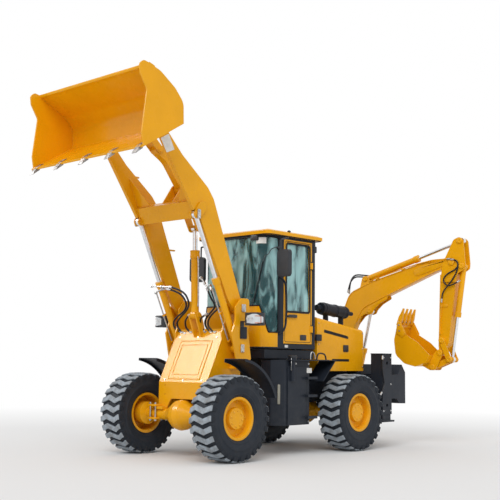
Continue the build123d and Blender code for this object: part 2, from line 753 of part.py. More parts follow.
def engine_hood():
    outline = [
        (hood_front, hood_bottom, 0), (hood_front, hood_top_front, 0), (hood_rear, hood_top_rear, 60),
        (hood_rear, hood_bottom, 0),
    ]
    outer = slab(rounded(outline), -hood_half, hood_half)
    top_edges = [edge for edge in outer.edges() if edge.center().Z > hood_top_rear - 30 and abs(edge.center().Y) > 590]
    outer = fillet(top_edges, 45)
    inside = [
        (hood_front - hood_sheet, hood_bottom - 10, 0), (hood_front - hood_sheet, hood_top_front - hood_sheet - 3, 0),
        (hood_rear + hood_sheet, hood_top_rear - hood_sheet, 50), (hood_rear + hood_sheet, hood_bottom - 10, 0),
    ]
    hollow = slab(rounded(inside), -hood_half + hood_sheet, hood_half - hood_sheet)
    hollow_edges = [e for e in hollow.edges() if e.center().Z > hood_top_rear - 60 and abs(e.center().Y) > 570]
    return outer - fillet(hollow_edges, 35)


def muffler():
    centre_y = 250
    start, end = (-1300, 2043), (-1905, 2002)
    can = rod(start, end, 90, centre_y)
    for place in (120, 300, 480):
        can = can + rod(along(start, end, place), along(start, end, place + 20), 94, centre_y)
    neck = rod(along(start, end, -95), along(start, end, 1), 45, centre_y)
    tail = rod(along(start, end, 600), along(start, end, 775), 32, centre_y)
    foot_a = box(-1440, -1410, centre_y - 40, centre_y + 40, 1790, 1980)
    foot_b = box(-1810, -1780, centre_y - 40, centre_y + 40, 1738, 1950)
    return can + neck + tail + foot_a + foot_b - engine_hood()


def slide_frame():
    """Cross frame with an upper and a lower rail for the digger's carriage."""
    top_rail = rounded([
        (-2223, 1070, 0), (-2324, 1225, 6), (slide_rear, 1104, 0), (slide_rear, 1000, 0), (-2250, 1000, 0),
        (-2223, 1030, 0),
    ])
    low_rail = rounded([
        (slide_rear, 639, 0), (-2264, 643, 0), (-2223, 700, 0), (-2223, 760, 0), (-2250, 780, 0), (slide_rear, 780, 0),
    ])
    end_plate = rounded([
        (-2040, 716, 0), (-2040, 1070, 0), (-2223, 1070, 0), (-2324, 1225, 6), (slide_rear, 1104, 0),
        (slide_rear, 639, 0), (-2264, 643, 0), (-2188, 716, 0),
    ])
    frame = slab(top_rail + low_rail, -slide_half + 1, slide_half - 1)
    frame = frame + pair(end_plate, slide_half - 30, slide_half)
    frame = frame + box(-2250, -2225, -slide_half + 2, slide_half - 2, 700, 1060)
    sleeve = box(leg_rear, leg_front, leg_inner, slide_half, leg_sleeve_bottom, leg_top)
    cavity = box(leg_rear + leg_wall, leg_front - leg_wall, leg_inner + leg_wall, slide_half - leg_wall,
                 leg_sleeve_bottom - 5, leg_top - leg_wall)
    sleeve = sleeve - cavity
    frame = frame + both_sides(sleeve)
    middle = (leg_front + leg_rear) / 2
    for z in (620, 1240):
        frame = frame - slab(disc((middle, z), leg_hole_radius), -slide_half - 5, -slide_half + leg_wall + 5)
        frame = frame - slab(disc((middle, z), leg_hole_radius), slide_half - leg_wall - 5, slide_half + 5)
    tie = box(-2226, chassis_rear - running_gap, -chassis_half, chassis_half, 720, 1060)
    hollow = box(-2300, chassis_rear + 5, -chassis_half + 25, chassis_half - 25, 760, 1020)
    beam = box(-2226, -2062, 400, leg_inner + 2, 760, 1040) - box(-2210, -2078, 380, leg_inner - 4, 776, 1024)
    return frame + (tie - hollow) + both_sides(beam) - both_sides(cavity)


def stabiliser(side):
    inset = leg_wall + leg_gap
    leg = box(leg_rear + inset, leg_front - inset, leg_inner + inset, slide_half - inset, leg_foot + 15, 1330)
    middle = (leg_front + leg_rear) / 2
    for z in (620, 1240):
        leg = leg - slab(disc((middle, z), leg_hole_radius + 3), 700, slide_half + 5)
    foot = box(leg_rear - 40, leg_front + 20, leg_inner - 40, slide_half + 20, leg_foot, leg_foot + 25)
    leg = leg + foot
    return leg if side > 0 else mirror(leg, about=Plane.XZ)


def carriage():
    """Plate that hooks over both rails and carries the swing post's lugs."""
    gap = running_gap
    plate = box(-2480, slide_rear - gap, -280, 280, 620, 1180)
    hook = rounded([
        (slide_rear - gap, 1105, 0), (-2324, 1227, 0), (-2270, 1146, 0), (-2248, 1160, 0), (-2322, 1272, 10),
        (-2480, 1180, 20), (-2480, 1105, 0),
    ])
    low_hook = rounded([
        (-2480, 600, 10), (-2300, 600, 0), (-2300, 638, 0), (slide_rear - gap, 638, 0), (slide_rear - gap, 700, 0),
        (-2480, 700, 0),
    ])
    body = plate + slab(hook + low_hook, -280, 280)
    for z in post_lug_heights:
        lug = Pos(post_x, 0, z) * Cylinder(80, post_lug_thickness)
        lug = lug + box(post_x, -2470, -80, 80, z - post_lug_thickness / 2, z + post_lug_thickness / 2)
        body = body + lug
        body = body - Pos(post_x, 0, z) * Cylinder(post_pin_radius + running_gap, 3 * post_lug_thickness)
    return Pos(0, post_y, 0) * body


# Digger, modelled straight along +X from its swing post and then turned to its heading
def on_post(solid):
    return Pos(post_x, post_y, 0) * Rot(0, 0, boom_heading) * solid


def swing_post():
    body = box(95, 268, -70, 70, 700, 1250)
    for z in post_lug_heights:
        for side in (-1, 1):
            middle = z + side * (post_lug_thickness / 2 + 5 + 20)
            fork = Pos(0, 0, middle) * (Cylinder(82, 40) + Pos(80, 0, 0) * Box(160, 160, 40))
            body = body + fork
        body = body + Pos(0, 0, z) * Cylinder(post_pin_radius, post_lug_thickness + 90)
    body = body + Pos(0, 0, sum(post_lug_heights) / 2) * Cylinder(60, 300)
    head = rounded([
        (-72, 1169, 0), (-58, 1290, 60), (35, 1520, 60), (110, 1574, 70), (186, 1500, 60), (290, 1250, 40),
        (295, 1169, 0),
    ])
    body = body + pair(head, 83, 104) + box(-70, 293, -100, 100, 1168, 1203)
    body = body + slab(disc(boom_foot, pin_radius), -112, 112)
    ear = rounded([
        (240, 780, 0), (240, 1060, 0), (395, 880, 50), (385, 810, 50), (320, 790, 40),
    ])
    body = body + pair(ear, 56, 76) + slab(disc(boom_cylinder_base, small_pin_radius), -86, 86)
    return body


def boom():
    outline = [
        (45, 1470, 0), (60, 1921, 150), (250, 2370, 260), (657, 2540, 300), (1666, 2820, 0), (2060, 2862, 40),
        (2140, 2740, 40), (1795, 2660, 300), (932, 2311, 300), (484, 2119, 260), (330, 1832, 200), (170, 1470, 0),
    ]
    solid = slab(rounded(outline) + disc(boom_foot, 70), -boom_half, boom_half)
    solid = solid + slab(disc(boom_foot, 62), -76, 76) + slab(disc(boom_tip, 70), -boom_half, boom_half)
    foot_bore = slab(disc(boom_foot, pin_radius + running_gap), -200, 200)
    tip_bore = slab(disc(boom_tip, pin_radius + running_gap), -200, 200)
    under_ear = rounded([
        (480, 2150, 0), (760, 2260, 0), (668, 2060, 50), (613, 2020, 50), (560, 2060, 40),
    ])
    top_ear = rounded([
        (440, 2440, 0), (640, 2520, 0), (600, 2610, 40), (539, 2652, 50), (480, 2600, 40),
    ])
    solid = solid - slab(disc(boom_cylinder_eye, 62), -44, 44)
    solid = solid + pair(under_ear, 38, 58) + pair(top_ear, 54, boom_half)
    solid = solid + slab(disc(dipper_cylinder_base, small_pin_radius), -76, 76)
    solid = solid + pair(disc(boom_cylinder_eye, 38), 57, 68)
    return solid - foot_bore - tip_bore


def dipper():
    top_z = 2560
    outline = [
        (1880, top_z + 40, 0), (1840, 1500, 0), (1868, 1350, 50), (1950, 1430, 40), (2010, 1560, 60), (2150, top_z + 40, 0),
    ]
    stick = slab(rounded(outline), -dipper_half, dipper_half)
    ear = rounded([
        (1890, 2480, 40), (1925, 2760, 60), (2120, 3130, 60), (2218, 3166, 55), (2280, 3110, 60), (2308, 2760, 60),
        (2300, 2680, 40), (2170, 2600, 80), (2140, 2480, 0),
    ])
    plates = pair(ear, *dipper_ear)
    solid = stick + plates
    side = dipper_ear[1]
    solid = solid + slab(disc(boom_tip, pin_radius), -side - 8, side + 8)
    solid = solid + slab(disc(dig_cylinder_base, small_pin_radius), -side - 6, side + 6)
    solid = solid + pair(disc(dipper_cylinder_eye, 38), side - 1, side + 10)
    solid = solid + slab(disc(dig_bucket_pivot, 55), -dipper_half, dipper_half)
    reach = dig_rocker_side[1] + 6
    solid = solid + slab(disc(dig_rocker_pivot, small_pin_radius), -reach, reach)
    solid = solid + pair(disc(dig_rocker_pivot, 40), dipper_half - 1, dig_rocker_side[0] - 0.5)
    return solid - slab(disc(dig_bucket_pivot, pin_radius + running_gap), -200, 200)


def dig_rocker():
    plate = bar(dig_rocker_pivot, dig_rod_pin, 42, 42)
    inner, outer = dig_rocker_side
    solid = pair(plate, inner, outer) + pair(disc(dig_rod_pin, 34), 64, inner + 1)
    return solid - slab(disc(dig_rocker_pivot, small_pin_radius + running_gap), -300, 300)


def dig_link():
    """Two plates between the bucket's link pin and the rocker's pin."""
    plate = bar(dig_link_pin, dig_rod_pin, 44, 42)
    solid = pair(plate, 40, 58)
    middle = along(dig_link_pin, dig_rod_pin, 130)
    solid = solid + slab(disc(middle, 22), -58, 58)
    return solid - slab(disc(dig_link_pin, small_pin_radius + running_gap), -200, 200)


def dig_bucket():
    outer = rounded([
        (1215, 1880, 0), (1150, 1600, 150), (1175, 1370, 140), (1330, 1235, 130), (1520, 1190, 90), (1700, 1255, 40),
        (1760, 1370, 0),
    ])
    inner = offset(outer, amount=-12)
    skin = outer - inner - Polygon((1239, 1905), (1225, 1850), (1735, 1365), (1790, 1372), align=None)
    wrapper = slab(skin, -dig_bucket_half + 2, dig_bucket_half - 2)
    side = rounded([
        (1218, 1880, 0), (1150, 1600, 150), (1175, 1370, 140), (1330, 1235, 130), (1520, 1190, 90), (1700, 1255, 40),
        (1760, 1370, 20), (1560, 1560, 160), (1330, 1700, 80), (1250, 1880, 0),
    ])
    bucket = wrapper + pair(side, dig_bucket_half - 12, dig_bucket_half)
    edge = rounded([(1206, 1800, 0), (1226, 1920, 6), (1240, 1920, 0), (1222, 1796, 0)])
    bucket = bucket + slab(edge, -dig_bucket_half + 1, dig_bucket_half - 1)
    ear = rounded([
        (1560, 1212, 0), (1700, 1262, 0), (1757, 1374, 0), (1830, 1458, 50), (1915, 1440, 50), (1900, 1350, 40),
        (1790, 1140, 40), (1700, 1140, 40),
    ])
    bucket = bucket + pair(ear, *dig_ear)
    bucket = bucket + slab(disc(dig_bucket_pivot, pin_radius), -dig_ear[1] - 1, dig_ear[1] + 1)
    bucket = bucket + slab(disc(dig_link_pin, small_pin_radius), -dig_ear[1] - 5, dig_ear[1] + 5)
    for step in (-1.5, -0.5, 0.5, 1.5):
        tooth = slab(rounded([(1196, 1850, 4), (1300, 2090, 3), (1312, 2086, 0), (1248, 1850, 4)]), -24, 24)
        bucket = bucket + Pos(0, step * 122, 0) * tooth
    return bucket


def boom_barrel():
    solid = barrel(boom_cylinder_base, boom_cylinder_eye, dig_barrel_radius, boom_barrel_length, 0, 52, 104,
                   small_pin_radius)
    return hollowed(solid, boom_cylinder_base, boom_cylinder_eye, boom_barrel_length, dig_rod_radius, 0, 100)


def boom_rod():
    return piston_rod(boom_cylinder_base, boom_cylinder_eye, 590, dig_rod_radius, 0, 50, 64, small_pin_radius)


def dipper_barrel():
    solid = barrel(dipper_cylinder_base, dipper_cylinder_eye, dig_barrel_radius, dipper_barrel_length, 0, 50, 68,
                   small_pin_radius)
    return hollowed(solid, dipper_cylinder_base, dipper_cylinder_eye, dipper_barrel_length, dig_rod_radius, 0, 100)


def dipper_rod():
    return piston_rod(dipper_cylinder_base, dipper_cylinder_eye, 560, dig_rod_radius, 0, 48, 70, small_pin_radius)


def dig_barrel():
    solid = barrel(dig_cylinder_base, dig_rod_pin, 42, dig_barrel_length, 0, 48, 70, small_pin_radius)
    return hollowed(solid, dig_cylinder_base, dig_rod_pin, dig_barrel_length, dig_rod_radius, 0, 90)


def dig_rod():
    return piston_rod(dig_cylinder_base, dig_rod_pin, 590, dig_rod_radius, 0, 44, 60, small_pin_radius)


def headlights():
    plan = RectangleRounded(214, 230, 68)
    housing = Pos(813, 860, 1706) * extrude(plan, amount=162)
    stalk = box(800, 862, tower_outer + running_gap, 800, 1752, 1764) + box(806, 856, 740, 800, 1740, 1765)
    bracket = box(800, 862, tower_outer + running_gap, tower_outer + 12, 1690, 1765)
    return both_sides(housing + stalk + bracket)


def mirrors():
    face = RectangleRounded(250, 365, 50)
    shell = extrude(Plane(origin=(0, 0, 0), x_dir=(0, 1, 0), z_dir=(1, 0, 0)) * face, amount=62)
    head = Pos(180, 842, 2566) * Rot(0, 0, -12) * shell
    arm = rod((212, 2700), (212, 2890), 11, 770)
    arm = arm + Pos(0, 770, 0) * rod((212, 2890), (70, 2925), 11)
    arm = arm + box(60, 84, cab_half + running_gap, 781, 2914, 2936)
    return both_sides(head + arm)


def on_front(solid):
    """Front-half work moved from the drawn axle to the real one."""
    return Pos(front_shift, 0, 0) * solid


nodes = {
    "front_frame": on_front(front_frame()),
    "front_axle": axle(wheelbase / 2),
    "front_fenders": on_front(front_fender()),
    "headlights": on_front(headlights()),
    "loader_arms": on_front(loader_arms()),
    "lift_barrels": on_front(lift_barrels()),
    "lift_rods": on_front(lift_rods()),
    "tilt_barrel": on_front(tilt_barrel()),
    "tilt_rod": on_front(tilt_rod()),
    "rocker": on_front(rocker()),
    "bucket_link": on_front(bucket_link()),
    "loader_bucket": on_front(loader_bucket()),
    "bucket_teeth": Compound(children=[on_front(tooth) for tooth in bucket_teeth()]),
    "rear_chassis": rear_chassis(),
    "rear_axle": axle(-wheelbase / 2),
    "engine_block": engine_block(),
    "cab_frame": cab_frame(),
    "cab_panels": Compound(children=[solid for part in cab_panels() for solid in part.solids()]),
    "cab_glass": Compound(children=[solid for part in cab_glass() for solid in part.solids()]),
    "cab_roof": cab_roof(),
    "cab_door": cab_door(),
    "door_glass": door_glass(),
    "seat": seat(),
    "console": console(),
    "mirrors": mirrors(),
    "tank_left": tank_left(),
    "tank_right": tank_right(),
    "engine_hood": engine_hood(),
    "muffler": muffler(),
    "slide_frame": slide_frame(),
    "stabiliser_left": stabiliser(1),
    "stabiliser_right": stabiliser(-1),
    "carriage": carriage(),
    "swing_post": on_post(swing_post()),
    "boom": on_post(boom()),
    "boom_barrel": on_post(boom_barrel()),
    "boom_rod": on_post(boom_rod()),
    "dipper": on_post(dipper()),
    "dipper_barrel": on_post(dipper_barrel()),
    "dipper_rod": on_post(dipper_rod()),
    "dig_barrel": on_post(dig_barrel()),
    "dig_rod": on_post(dig_rod()),
    "dig_rocker": on_post(dig_rocker()),
    "dig_link": on_post(dig_link()),
    "dig_bucket": on_post(dig_bucket()),
}
for end, x in (("front", wheelbase / 2), ("rear", -wheelbase / 2)):
    for name, side in (("left", 1), ("right", -1)):
        nodes[f"tyre_{end}_{name}"] = tyre(x, side)
        nodes[f"rim_{end}_{name}"] = rim(x, side)

# The finished machine stands over the middle of its own box
extent = Compound(children=[Compound(node.solids()) for node in nodes.values()]).bounding_box()
shift_x = -(extent.min.X + extent.max.X) / 2
shift_y = -(extent.min.Y + extent.max.Y) / 2

os.makedirs("parts", exist_ok=True)
for name, node in nodes.items():
    solids = [Pos(shift_x, shift_y, 0) * solid for solid in node.solids()]
    piece = solids[0] if len(solids) == 1 else Compound(solids)
    export_step(piece, f"parts/{name}.step")
print("origin moved by", round(shift_x, 3), round(shift_y, 3))
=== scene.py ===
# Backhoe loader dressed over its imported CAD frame. Metres, +X forward, +Y left, +Z up.
import math

import bmesh
import bpy
from mathutils import Matrix, Vector


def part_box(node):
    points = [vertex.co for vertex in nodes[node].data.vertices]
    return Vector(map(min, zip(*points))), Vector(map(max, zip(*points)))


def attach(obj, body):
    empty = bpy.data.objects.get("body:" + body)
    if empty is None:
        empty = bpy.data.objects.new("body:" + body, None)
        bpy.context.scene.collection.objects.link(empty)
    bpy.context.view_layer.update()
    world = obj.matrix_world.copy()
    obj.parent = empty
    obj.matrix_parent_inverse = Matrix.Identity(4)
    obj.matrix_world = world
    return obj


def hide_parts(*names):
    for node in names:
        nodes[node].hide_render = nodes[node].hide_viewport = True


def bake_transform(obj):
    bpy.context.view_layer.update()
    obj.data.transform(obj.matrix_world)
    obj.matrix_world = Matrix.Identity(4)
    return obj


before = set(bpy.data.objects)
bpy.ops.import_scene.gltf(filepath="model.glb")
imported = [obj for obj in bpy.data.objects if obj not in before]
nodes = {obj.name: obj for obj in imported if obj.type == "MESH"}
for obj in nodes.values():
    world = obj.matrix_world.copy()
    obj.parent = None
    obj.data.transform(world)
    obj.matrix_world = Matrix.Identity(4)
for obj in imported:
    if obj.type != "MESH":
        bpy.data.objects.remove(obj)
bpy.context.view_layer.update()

# Measures below are millimetres from the ground point half-way between the axles.
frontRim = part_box("rim_front_left")
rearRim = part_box("rim_rear_right")
middle = Vector([(frontRim[0][i] + frontRim[1][i] + rearRim[0][i] + rearRim[1][i]) / 4 for i in range(3)])
middle.z = 0.0


def spot(x, y, z):
    return middle + Vector((x, y, z)) / 1000


def linked(name, data):
    holder = bpy.data.objects.new(name, data)
    bpy.context.collection.objects.link(holder)
    return holder


# Camera, set where the photographer stood
cameraView = {"place": (9.9901, 9.266, 1.2546), "yaw": -2.3941, "pitch": 0.1143, "roll": 0.0115,
              "focalPixels": 962.9}


def makeCamera(view):
    yaw, pitch, roll = view["yaw"], view["pitch"], view["roll"]
    ahead = Vector((math.cos(yaw) * math.cos(pitch), math.sin(yaw) * math.cos(pitch), math.sin(pitch)))
    right = ahead.cross(Vector((0, 0, 1))).normalized()
    up = right.cross(ahead)
    tiltedRight = right * math.cos(roll) + up * math.sin(roll)
    tiltedUp = up * math.cos(roll) - right * math.sin(roll)
    turn = Matrix((tiltedRight, tiltedUp, -ahead)).transposed()
    lens = bpy.data.cameras.new("photoCamera")
    lens.sensor_width = 36
    lens.lens = 36 * view["focalPixels"] / 500
    lens.clip_end = 200
    camera = linked("photoCamera", lens)
    camera.matrix_world = Matrix.Translation(middle + Vector(view["place"])) @ turn.to_4x4()
    bpy.context.scene.camera = camera


makeCamera(cameraView)
print("camera set")


# Materials
def blank(name):
    material = bpy.data.materials.new(name)
    material.use_nodes = True
    tree = material.node_tree
    tree.nodes.clear()
    shader = tree.nodes.new("ShaderNodeBsdfPrincipled")
    output = tree.nodes.new("ShaderNodeOutputMaterial")
    tree.links.new(shader.outputs[0], output.inputs[0])
    return material, tree, shader


def setSocket(tree, socket, value):
    if isinstance(value, bpy.types.NodeSocket):
        tree.links.new(value, socket)
    else:
        socket.default_value = value


def feed(tree, node, values):
    for name, value in values.items():
        setSocket(tree, node.inputs[name], value)


def objectPlace(tree):
    return tree.nodes.new("ShaderNodeTexCoord").outputs["Object"]


def noise(tree, scale, detail=4.0, rough=0.55):
    node = tree.nodes.new("ShaderNodeTexNoise")
    feed(tree, node, {"Scale": scale, "Detail": detail, "Roughness": rough, "Vector": objectPlace(tree)})
    return node.outputs[0]


def spread(tree, value, low, high, toLow=0.0, toHigh=1.0):
    node = tree.nodes.new("ShaderNodeMapRange")
    feed(tree, node, {"Value": value, "From Min": low, "From Max": high, "To Min": toLow, "To Max": toHigh})
    return node.outputs[0]


def combine(tree, operation, first, second):
    node = tree.nodes.new("ShaderNodeMath")
    node.operation = operation
    for socket, value in zip(node.inputs, (first, second)):
        setSocket(tree, socket, value)
    return node.outputs[0]


def blendColour(tree, share, first, second):
    node = tree.nodes.new("ShaderNodeMix")
    node.data_type = "RGBA"
    tree.links.new(share, node.inputs[0])
    for socket, value in ((node.inputs[6], first), (node.inputs[7], second)):
        setSocket(tree, socket, (*value, 1.0) if isinstance(value, tuple) else value)
    return node.outputs[2]


def heightOf(tree):
    split = tree.nodes.new("ShaderNodeSeparateXYZ")
    tree.links.new(objectPlace(tree), split.inputs[0])
    return split.outputs["Z"]


def softEdge(tree, radius):
    node = tree.nodes.new("ShaderNodeBevel")
    node.samples = 4
    node.inputs["Radius"].default_value = radius
    return node.outputs[0]


# Marks the edges by the rounded normal; the paint uses it for paler edges, partly edge wear and partly a
# painted highlight.
def edgeWearAndHighlightMask(tree, rounded):
    surface = tree.nodes.new("ShaderNodeNewGeometry").outputs["Normal"]
    dot = tree.nodes.new("ShaderNodeVectorMath")
    dot.operation = "DOT_PRODUCT"
    tree.links.new(rounded, dot.inputs[0])
    tree.links.new(surface, dot.inputs[1])
    return spread(tree, dot.outputs["Value"], 0.985, 0.88)


def addBump(tree, shader, height, strength, distance, normal=None):
    node = tree.nodes.new("ShaderNodeBump")
    feed(tree, node, {"Strength": strength, "Distance": distance, "Height": height})
    if normal is not None:
        tree.links.new(normal, node.inputs["Normal"])
    tree.links.new(node.outputs[0], shader.inputs["Normal"])


# The worn colour is the paler edge tone: partly edge wear, partly a painted highlight along the edges.
paintLooks = {
    "yellowPaint": {"colour": (0.84, 0.385, 0.003), "worn": (0.95, 0.62, 0.14), "rough": (0.20, 0.32),
                    "coat": 0.16,
                    "shine": 0.16, "dust": (0.52, 0.33, 0.12), "dustAmount": 0.06, "edge": 0.50},
    "charcoalPaint": {"colour": (0.018, 0.023, 0.033), "worn": (0.08, 0.09, 0.105), "rough": (0.30, 0.44),
                      "coat": 0.03,
                      "shine": 0.16, "dust": (0.09, 0.09, 0.09), "dustAmount": 0.10, "edge": 0.40},
}


def makePaint(name, look):
    material, tree, shader = blank(name)
    rounded = softEdge(tree, 0.005)
    patches = noise(tree, 1.7, 3.0)
    dark = tuple(channel * 0.90 for channel in look["colour"])
    colour = blendColour(tree, spread(tree, patches, 0.35, 0.65), look["colour"], dark)
    # Paler edges: partly edge wear, partly a painted highlight that lights the edges in the colour.
    worn = combine(tree, "MULTIPLY", edgeWearAndHighlightMask(tree, rounded), look["edge"])
    colour = blendColour(tree, worn, colour, look["worn"])
    low = spread(tree, heightOf(tree), 1.25, 0.25)
    specks = spread(tree, noise(tree, 9.0, 7.0, 0.7), 0.40, 0.72)
    dust = combine(tree, "MULTIPLY", combine(tree, "MULTIPLY", low, specks), look["dustAmount"] * 3)
    colour = blendColour(tree, dust, colour, look["dust"])
    gloss = spread(tree, noise(tree, 5.0, 5.0), 0.3, 0.7, *look["rough"])
    rough = combine(tree, "ADD", gloss, combine(tree, "MULTIPLY", dust, 0.4))
    feed(tree, shader, {"Base Color": colour, "Roughness": rough, "Specular IOR Level": look["shine"],
                        "Coat Weight": look["coat"], "Coat Roughness": 0.10})
    addBump(tree, shader, noise(tree, 260.0, 2.0), 0.06, 0.002, rounded)
    return material


rubberLooks = {
    "tyreSidewall": {"colour": (0.020, 0.025, 0.034), "dust": (0.050, 0.054, 0.060), "amount": 0.35,
                     "rough": 0.62,
                     "shine": 0.20},
    "hoseRubber": {"colour": (0.006, 0.007, 0.011), "dust": (0.020, 0.020, 0.024), "amount": 0.20,
                   "rough": 0.28,
                   "shine": 0.35},
    "sealRubber": {"colour": (0.008, 0.009, 0.012), "dust": (0.03, 0.03, 0.03), "amount": 0.20,
                   "rough": 0.50,
                   "shine": 0.20},
}


def makeRubber(name, look):
    material, tree, shader = blank(name)
    patches = spread(tree, noise(tree, 7.0, 8.0, 0.7), 0.42, 0.70)
    colour = blendColour(tree, combine(tree, "MULTIPLY", patches, look["amount"]), look["colour"],
                         look["dust"])
    feed(tree, shader, {"Base Color": colour, "Roughness": look["rough"],
                        "Specular IOR Level": look["shine"]})
    addBump(tree, shader, noise(tree, 140.0, 5.0), 0.22, 0.002, softEdge(tree, 0.003))
    return material


treadLook = {"groove": (0.018, 0.022, 0.029), "top": (0.34, 0.39, 0.44), "scuff": (0.20, 0.21, 0.22),
             "rough": 0.82}


def makeTread(name, look):
    material, tree, shader = blank(name)
    worn = tree.nodes.new("ShaderNodeAttribute")
    worn.attribute_name = "wornTop"
    crown = spread(tree, worn.outputs["Fac"], 0.45, 0.90)
    patches = spread(tree, noise(tree, 11.0, 8.0, 0.7), 0.40, 0.66)
    tops = blendColour(tree, patches, look["top"], look["scuff"])
    colour = blendColour(tree, crown, look["groove"], tops)
    feed(tree, shader, {"Base Color": colour, "Roughness": look["rough"], "Specular IOR Level": 0.3})
    addBump(tree, shader, noise(tree, 120.0, 6.0), 0.25, 0.003)
    return material


metalLooks = {
    "chromeRod": {"colour": (0.80, 0.81, 0.83), "other": (0.70, 0.71, 0.73), "rough": (0.06, 0.14),
                  "grain": 30.0},
    "zincSteel": {"colour": (0.60, 0.60, 0.60), "other": (0.36, 0.36, 0.36), "rough": (0.28, 0.45),
                  "grain": 45.0},
    "wornSteel": {"colour": (0.20, 0.19, 0.18), "other": (0.46, 0.45, 0.44), "rough": (0.35, 0.55),
                  "grain": 12.0},
    "castIron": {"colour": (0.07, 0.07, 0.075), "other": (0.13, 0.125, 0.12), "rough": (0.5, 0.7),
                 "grain": 60.0},
}


def makeMetal(name, look):
    material, tree, shader = blank(name)
    patches = spread(tree, noise(tree, look["grain"], 5.0), 0.4, 0.65)
    colour = blendColour(tree, patches, look["colour"], look["other"])
    gloss = spread(tree, noise(tree, look["grain"] * 2.3, 4.0), 0.3, 0.7, *look["rough"])
    feed(tree, shader, {"Base Color": colour, "Roughness": gloss, "Metallic": 1.0})
    addBump(tree, shader, noise(tree, look["grain"] * 5, 3.0), 0.05, 0.001, softEdge(tree, 0.002))
    return material


# Cab glass: a dark teal tint crossed by bright aqua streaks that are painted reflections.
glassLook = {"tint": (0.005, 0.060, 0.068), "reflectionTint": (0.44, 0.78, 0.79), "alpha": (0.70, 0.50),
             "rough": 0.03,
             "stretch": (2.6, 2.6, 0.8)}


def makeGlass(name, look):
    material, tree, shader = blank(name)
    pull = tree.nodes.new("ShaderNodeMapping")
    feed(tree, pull, {"Scale": look["stretch"], "Vector": objectPlace(tree)})
    # Stretched noise for the painted reflection streaks; the glass is more see-through where they are
    # bright.
    reflectionCloud = tree.nodes.new("ShaderNodeTexNoise")
    feed(tree, reflectionCloud, {"Scale": 2.1, "Detail": 6.0, "Distortion": 1.1, "Vector": pull.outputs[0]})
    reflectionStreaks = spread(tree, reflectionCloud.outputs[0], 0.42, 0.62)
    colour = blendColour(tree, reflectionStreaks, look["tint"], look["reflectionTint"])
    alpha = spread(tree, reflectionStreaks, 0, 1, *look["alpha"])
    feed(tree, shader, {"Base Color": colour, "Roughness": look["rough"], "Alpha": alpha,
                        "Specular IOR Level": 0.45})
    return material


plasticLooks = {
    "blackPlastic": {"colour": (0.017, 0.020, 0.027), "rough": 0.45, "grain": 320.0, "bump": 0.25,
                     "coat": 0.0},
    "blankLabel": {"colour": (0.78, 0.78, 0.75), "rough": 0.38, "grain": 60.0, "bump": 0.03, "coat": 0.2},
    "lampLens": {"colour": (0.66, 0.70, 0.73), "rough": 0.08, "grain": 90.0, "bump": 0.12, "coat": 1.0},
    "amberLens": {"colour": (0.62, 0.150, 0.030), "rough": 0.15, "grain": 110.0, "bump": 0.15, "coat": 1.0},
    "redLens": {"colour": (0.55, 0.012, 0.010), "rough": 0.15, "grain": 110.0, "bump": 0.15, "coat": 1.0},
    "gaugeFace": {"colour": (0.26, 0.25, 0.20), "rough": 0.2, "grain": 60.0, "bump": 0.1, "coat": 0.6},
    "mirrorFace": {"colour": (0.55, 0.58, 0.60), "rough": 0.05, "grain": 20.0, "bump": 0.0, "coat": 1.0},
}


def makePlastic(name, look):
    material, tree, shader = blank(name)
    patches = spread(tree, noise(tree, 14.0, 5.0), 0.35, 0.65)
    shade = tuple(c * 0.82 for c in look["colour"])
    colour = blendColour(tree, patches, look["colour"], shade)
    feed(tree, shader, {"Base Color": colour, "Roughness": look["rough"], "Coat Weight": look["coat"],
                        "Coat Roughness": 0.05})
    addBump(tree, shader, noise(tree, look["grain"], 3.0), look["bump"], 0.001, softEdge(tree, 0.003))
    return material


clothLook = {"colour": (0.035, 0.037, 0.042), "thread": (0.075, 0.078, 0.085), "pitch": 420.0}


def makeCloth(name, look):
    material, tree, shader = blank(name)
    waves = []
    for direction in ("X", "Y"):
        wave = tree.nodes.new("ShaderNodeTexWave")
        wave.bands_direction = direction
        feed(tree, wave, {"Scale": look["pitch"] / 20, "Distortion": 1.2, "Vector": objectPlace(tree)})
        waves.append(wave.outputs[1])
    weave = combine(tree, "MAXIMUM", waves[0], waves[1])
    colour = blendColour(tree, weave, look["colour"], look["thread"])
    feed(tree, shader, {"Base Color": colour, "Roughness": 0.9, "Sheen Weight": 0.35})
    addBump(tree, shader, weave, 0.4, 0.002)
    return material


finishes = {}
for maker, looks in ((makePaint, paintLooks), (makeRubber, rubberLooks), (makeMetal, metalLooks),
                     (makePlastic, plasticLooks)):
    finishes.update({name: maker(name, look) for name, look in looks.items()})
finishes["cabGlass"] = makeGlass("cabGlass", glassLook)
finishes["tyreTread"] = makeTread("tyreTread", treadLook)
finishes["seatCloth"] = makeCloth("seatCloth", clothLook)

nodeFinish = {
    "yellowPaint": (
        "front_frame front_axle rear_axle loader_arms lift_barrels tilt_barrel rocker bucket_link "
        "loader_bucket cab_panels cab_roof cab_door engine_hood boom boom_barrel dipper dipper_barrel "
        "dig_barrel dig_rocker dig_link dig_bucket rim_front_left rim_front_right rim_rear_left "
        "rim_rear_right swing_post"
    ),
    "charcoalPaint": (
        "rear_chassis cab_frame tank_left tank_right slide_frame stabiliser_left stabiliser_right "
        "carriage front_fenders muffler"
    ),
    "chromeRod": "lift_rods tilt_rod boom_rod dipper_rod dig_rod",
    "castIron": "engine_block",
    "wornSteel": "bucket_teeth",
    "cabGlass": "cab_glass door_glass",
    "blackPlastic": "console mirrors headlights seat",
    "tyreSidewall": "tyre_front_left tyre_front_right tyre_rear_left tyre_rear_right",
}
for finish, names in nodeFinish.items():
    for name in names.split():
        for place in nodes[name].material_slots:
            place.material = finishes[finish]
print("materials made")


# Mesh helpers
def newPiece(name, mesh, finish, body=None):
    piece = linked(name, mesh)
    mesh.materials.clear()
    mesh.materials.append(finishes[finish])
    if body:
        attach(piece, body)
    return piece


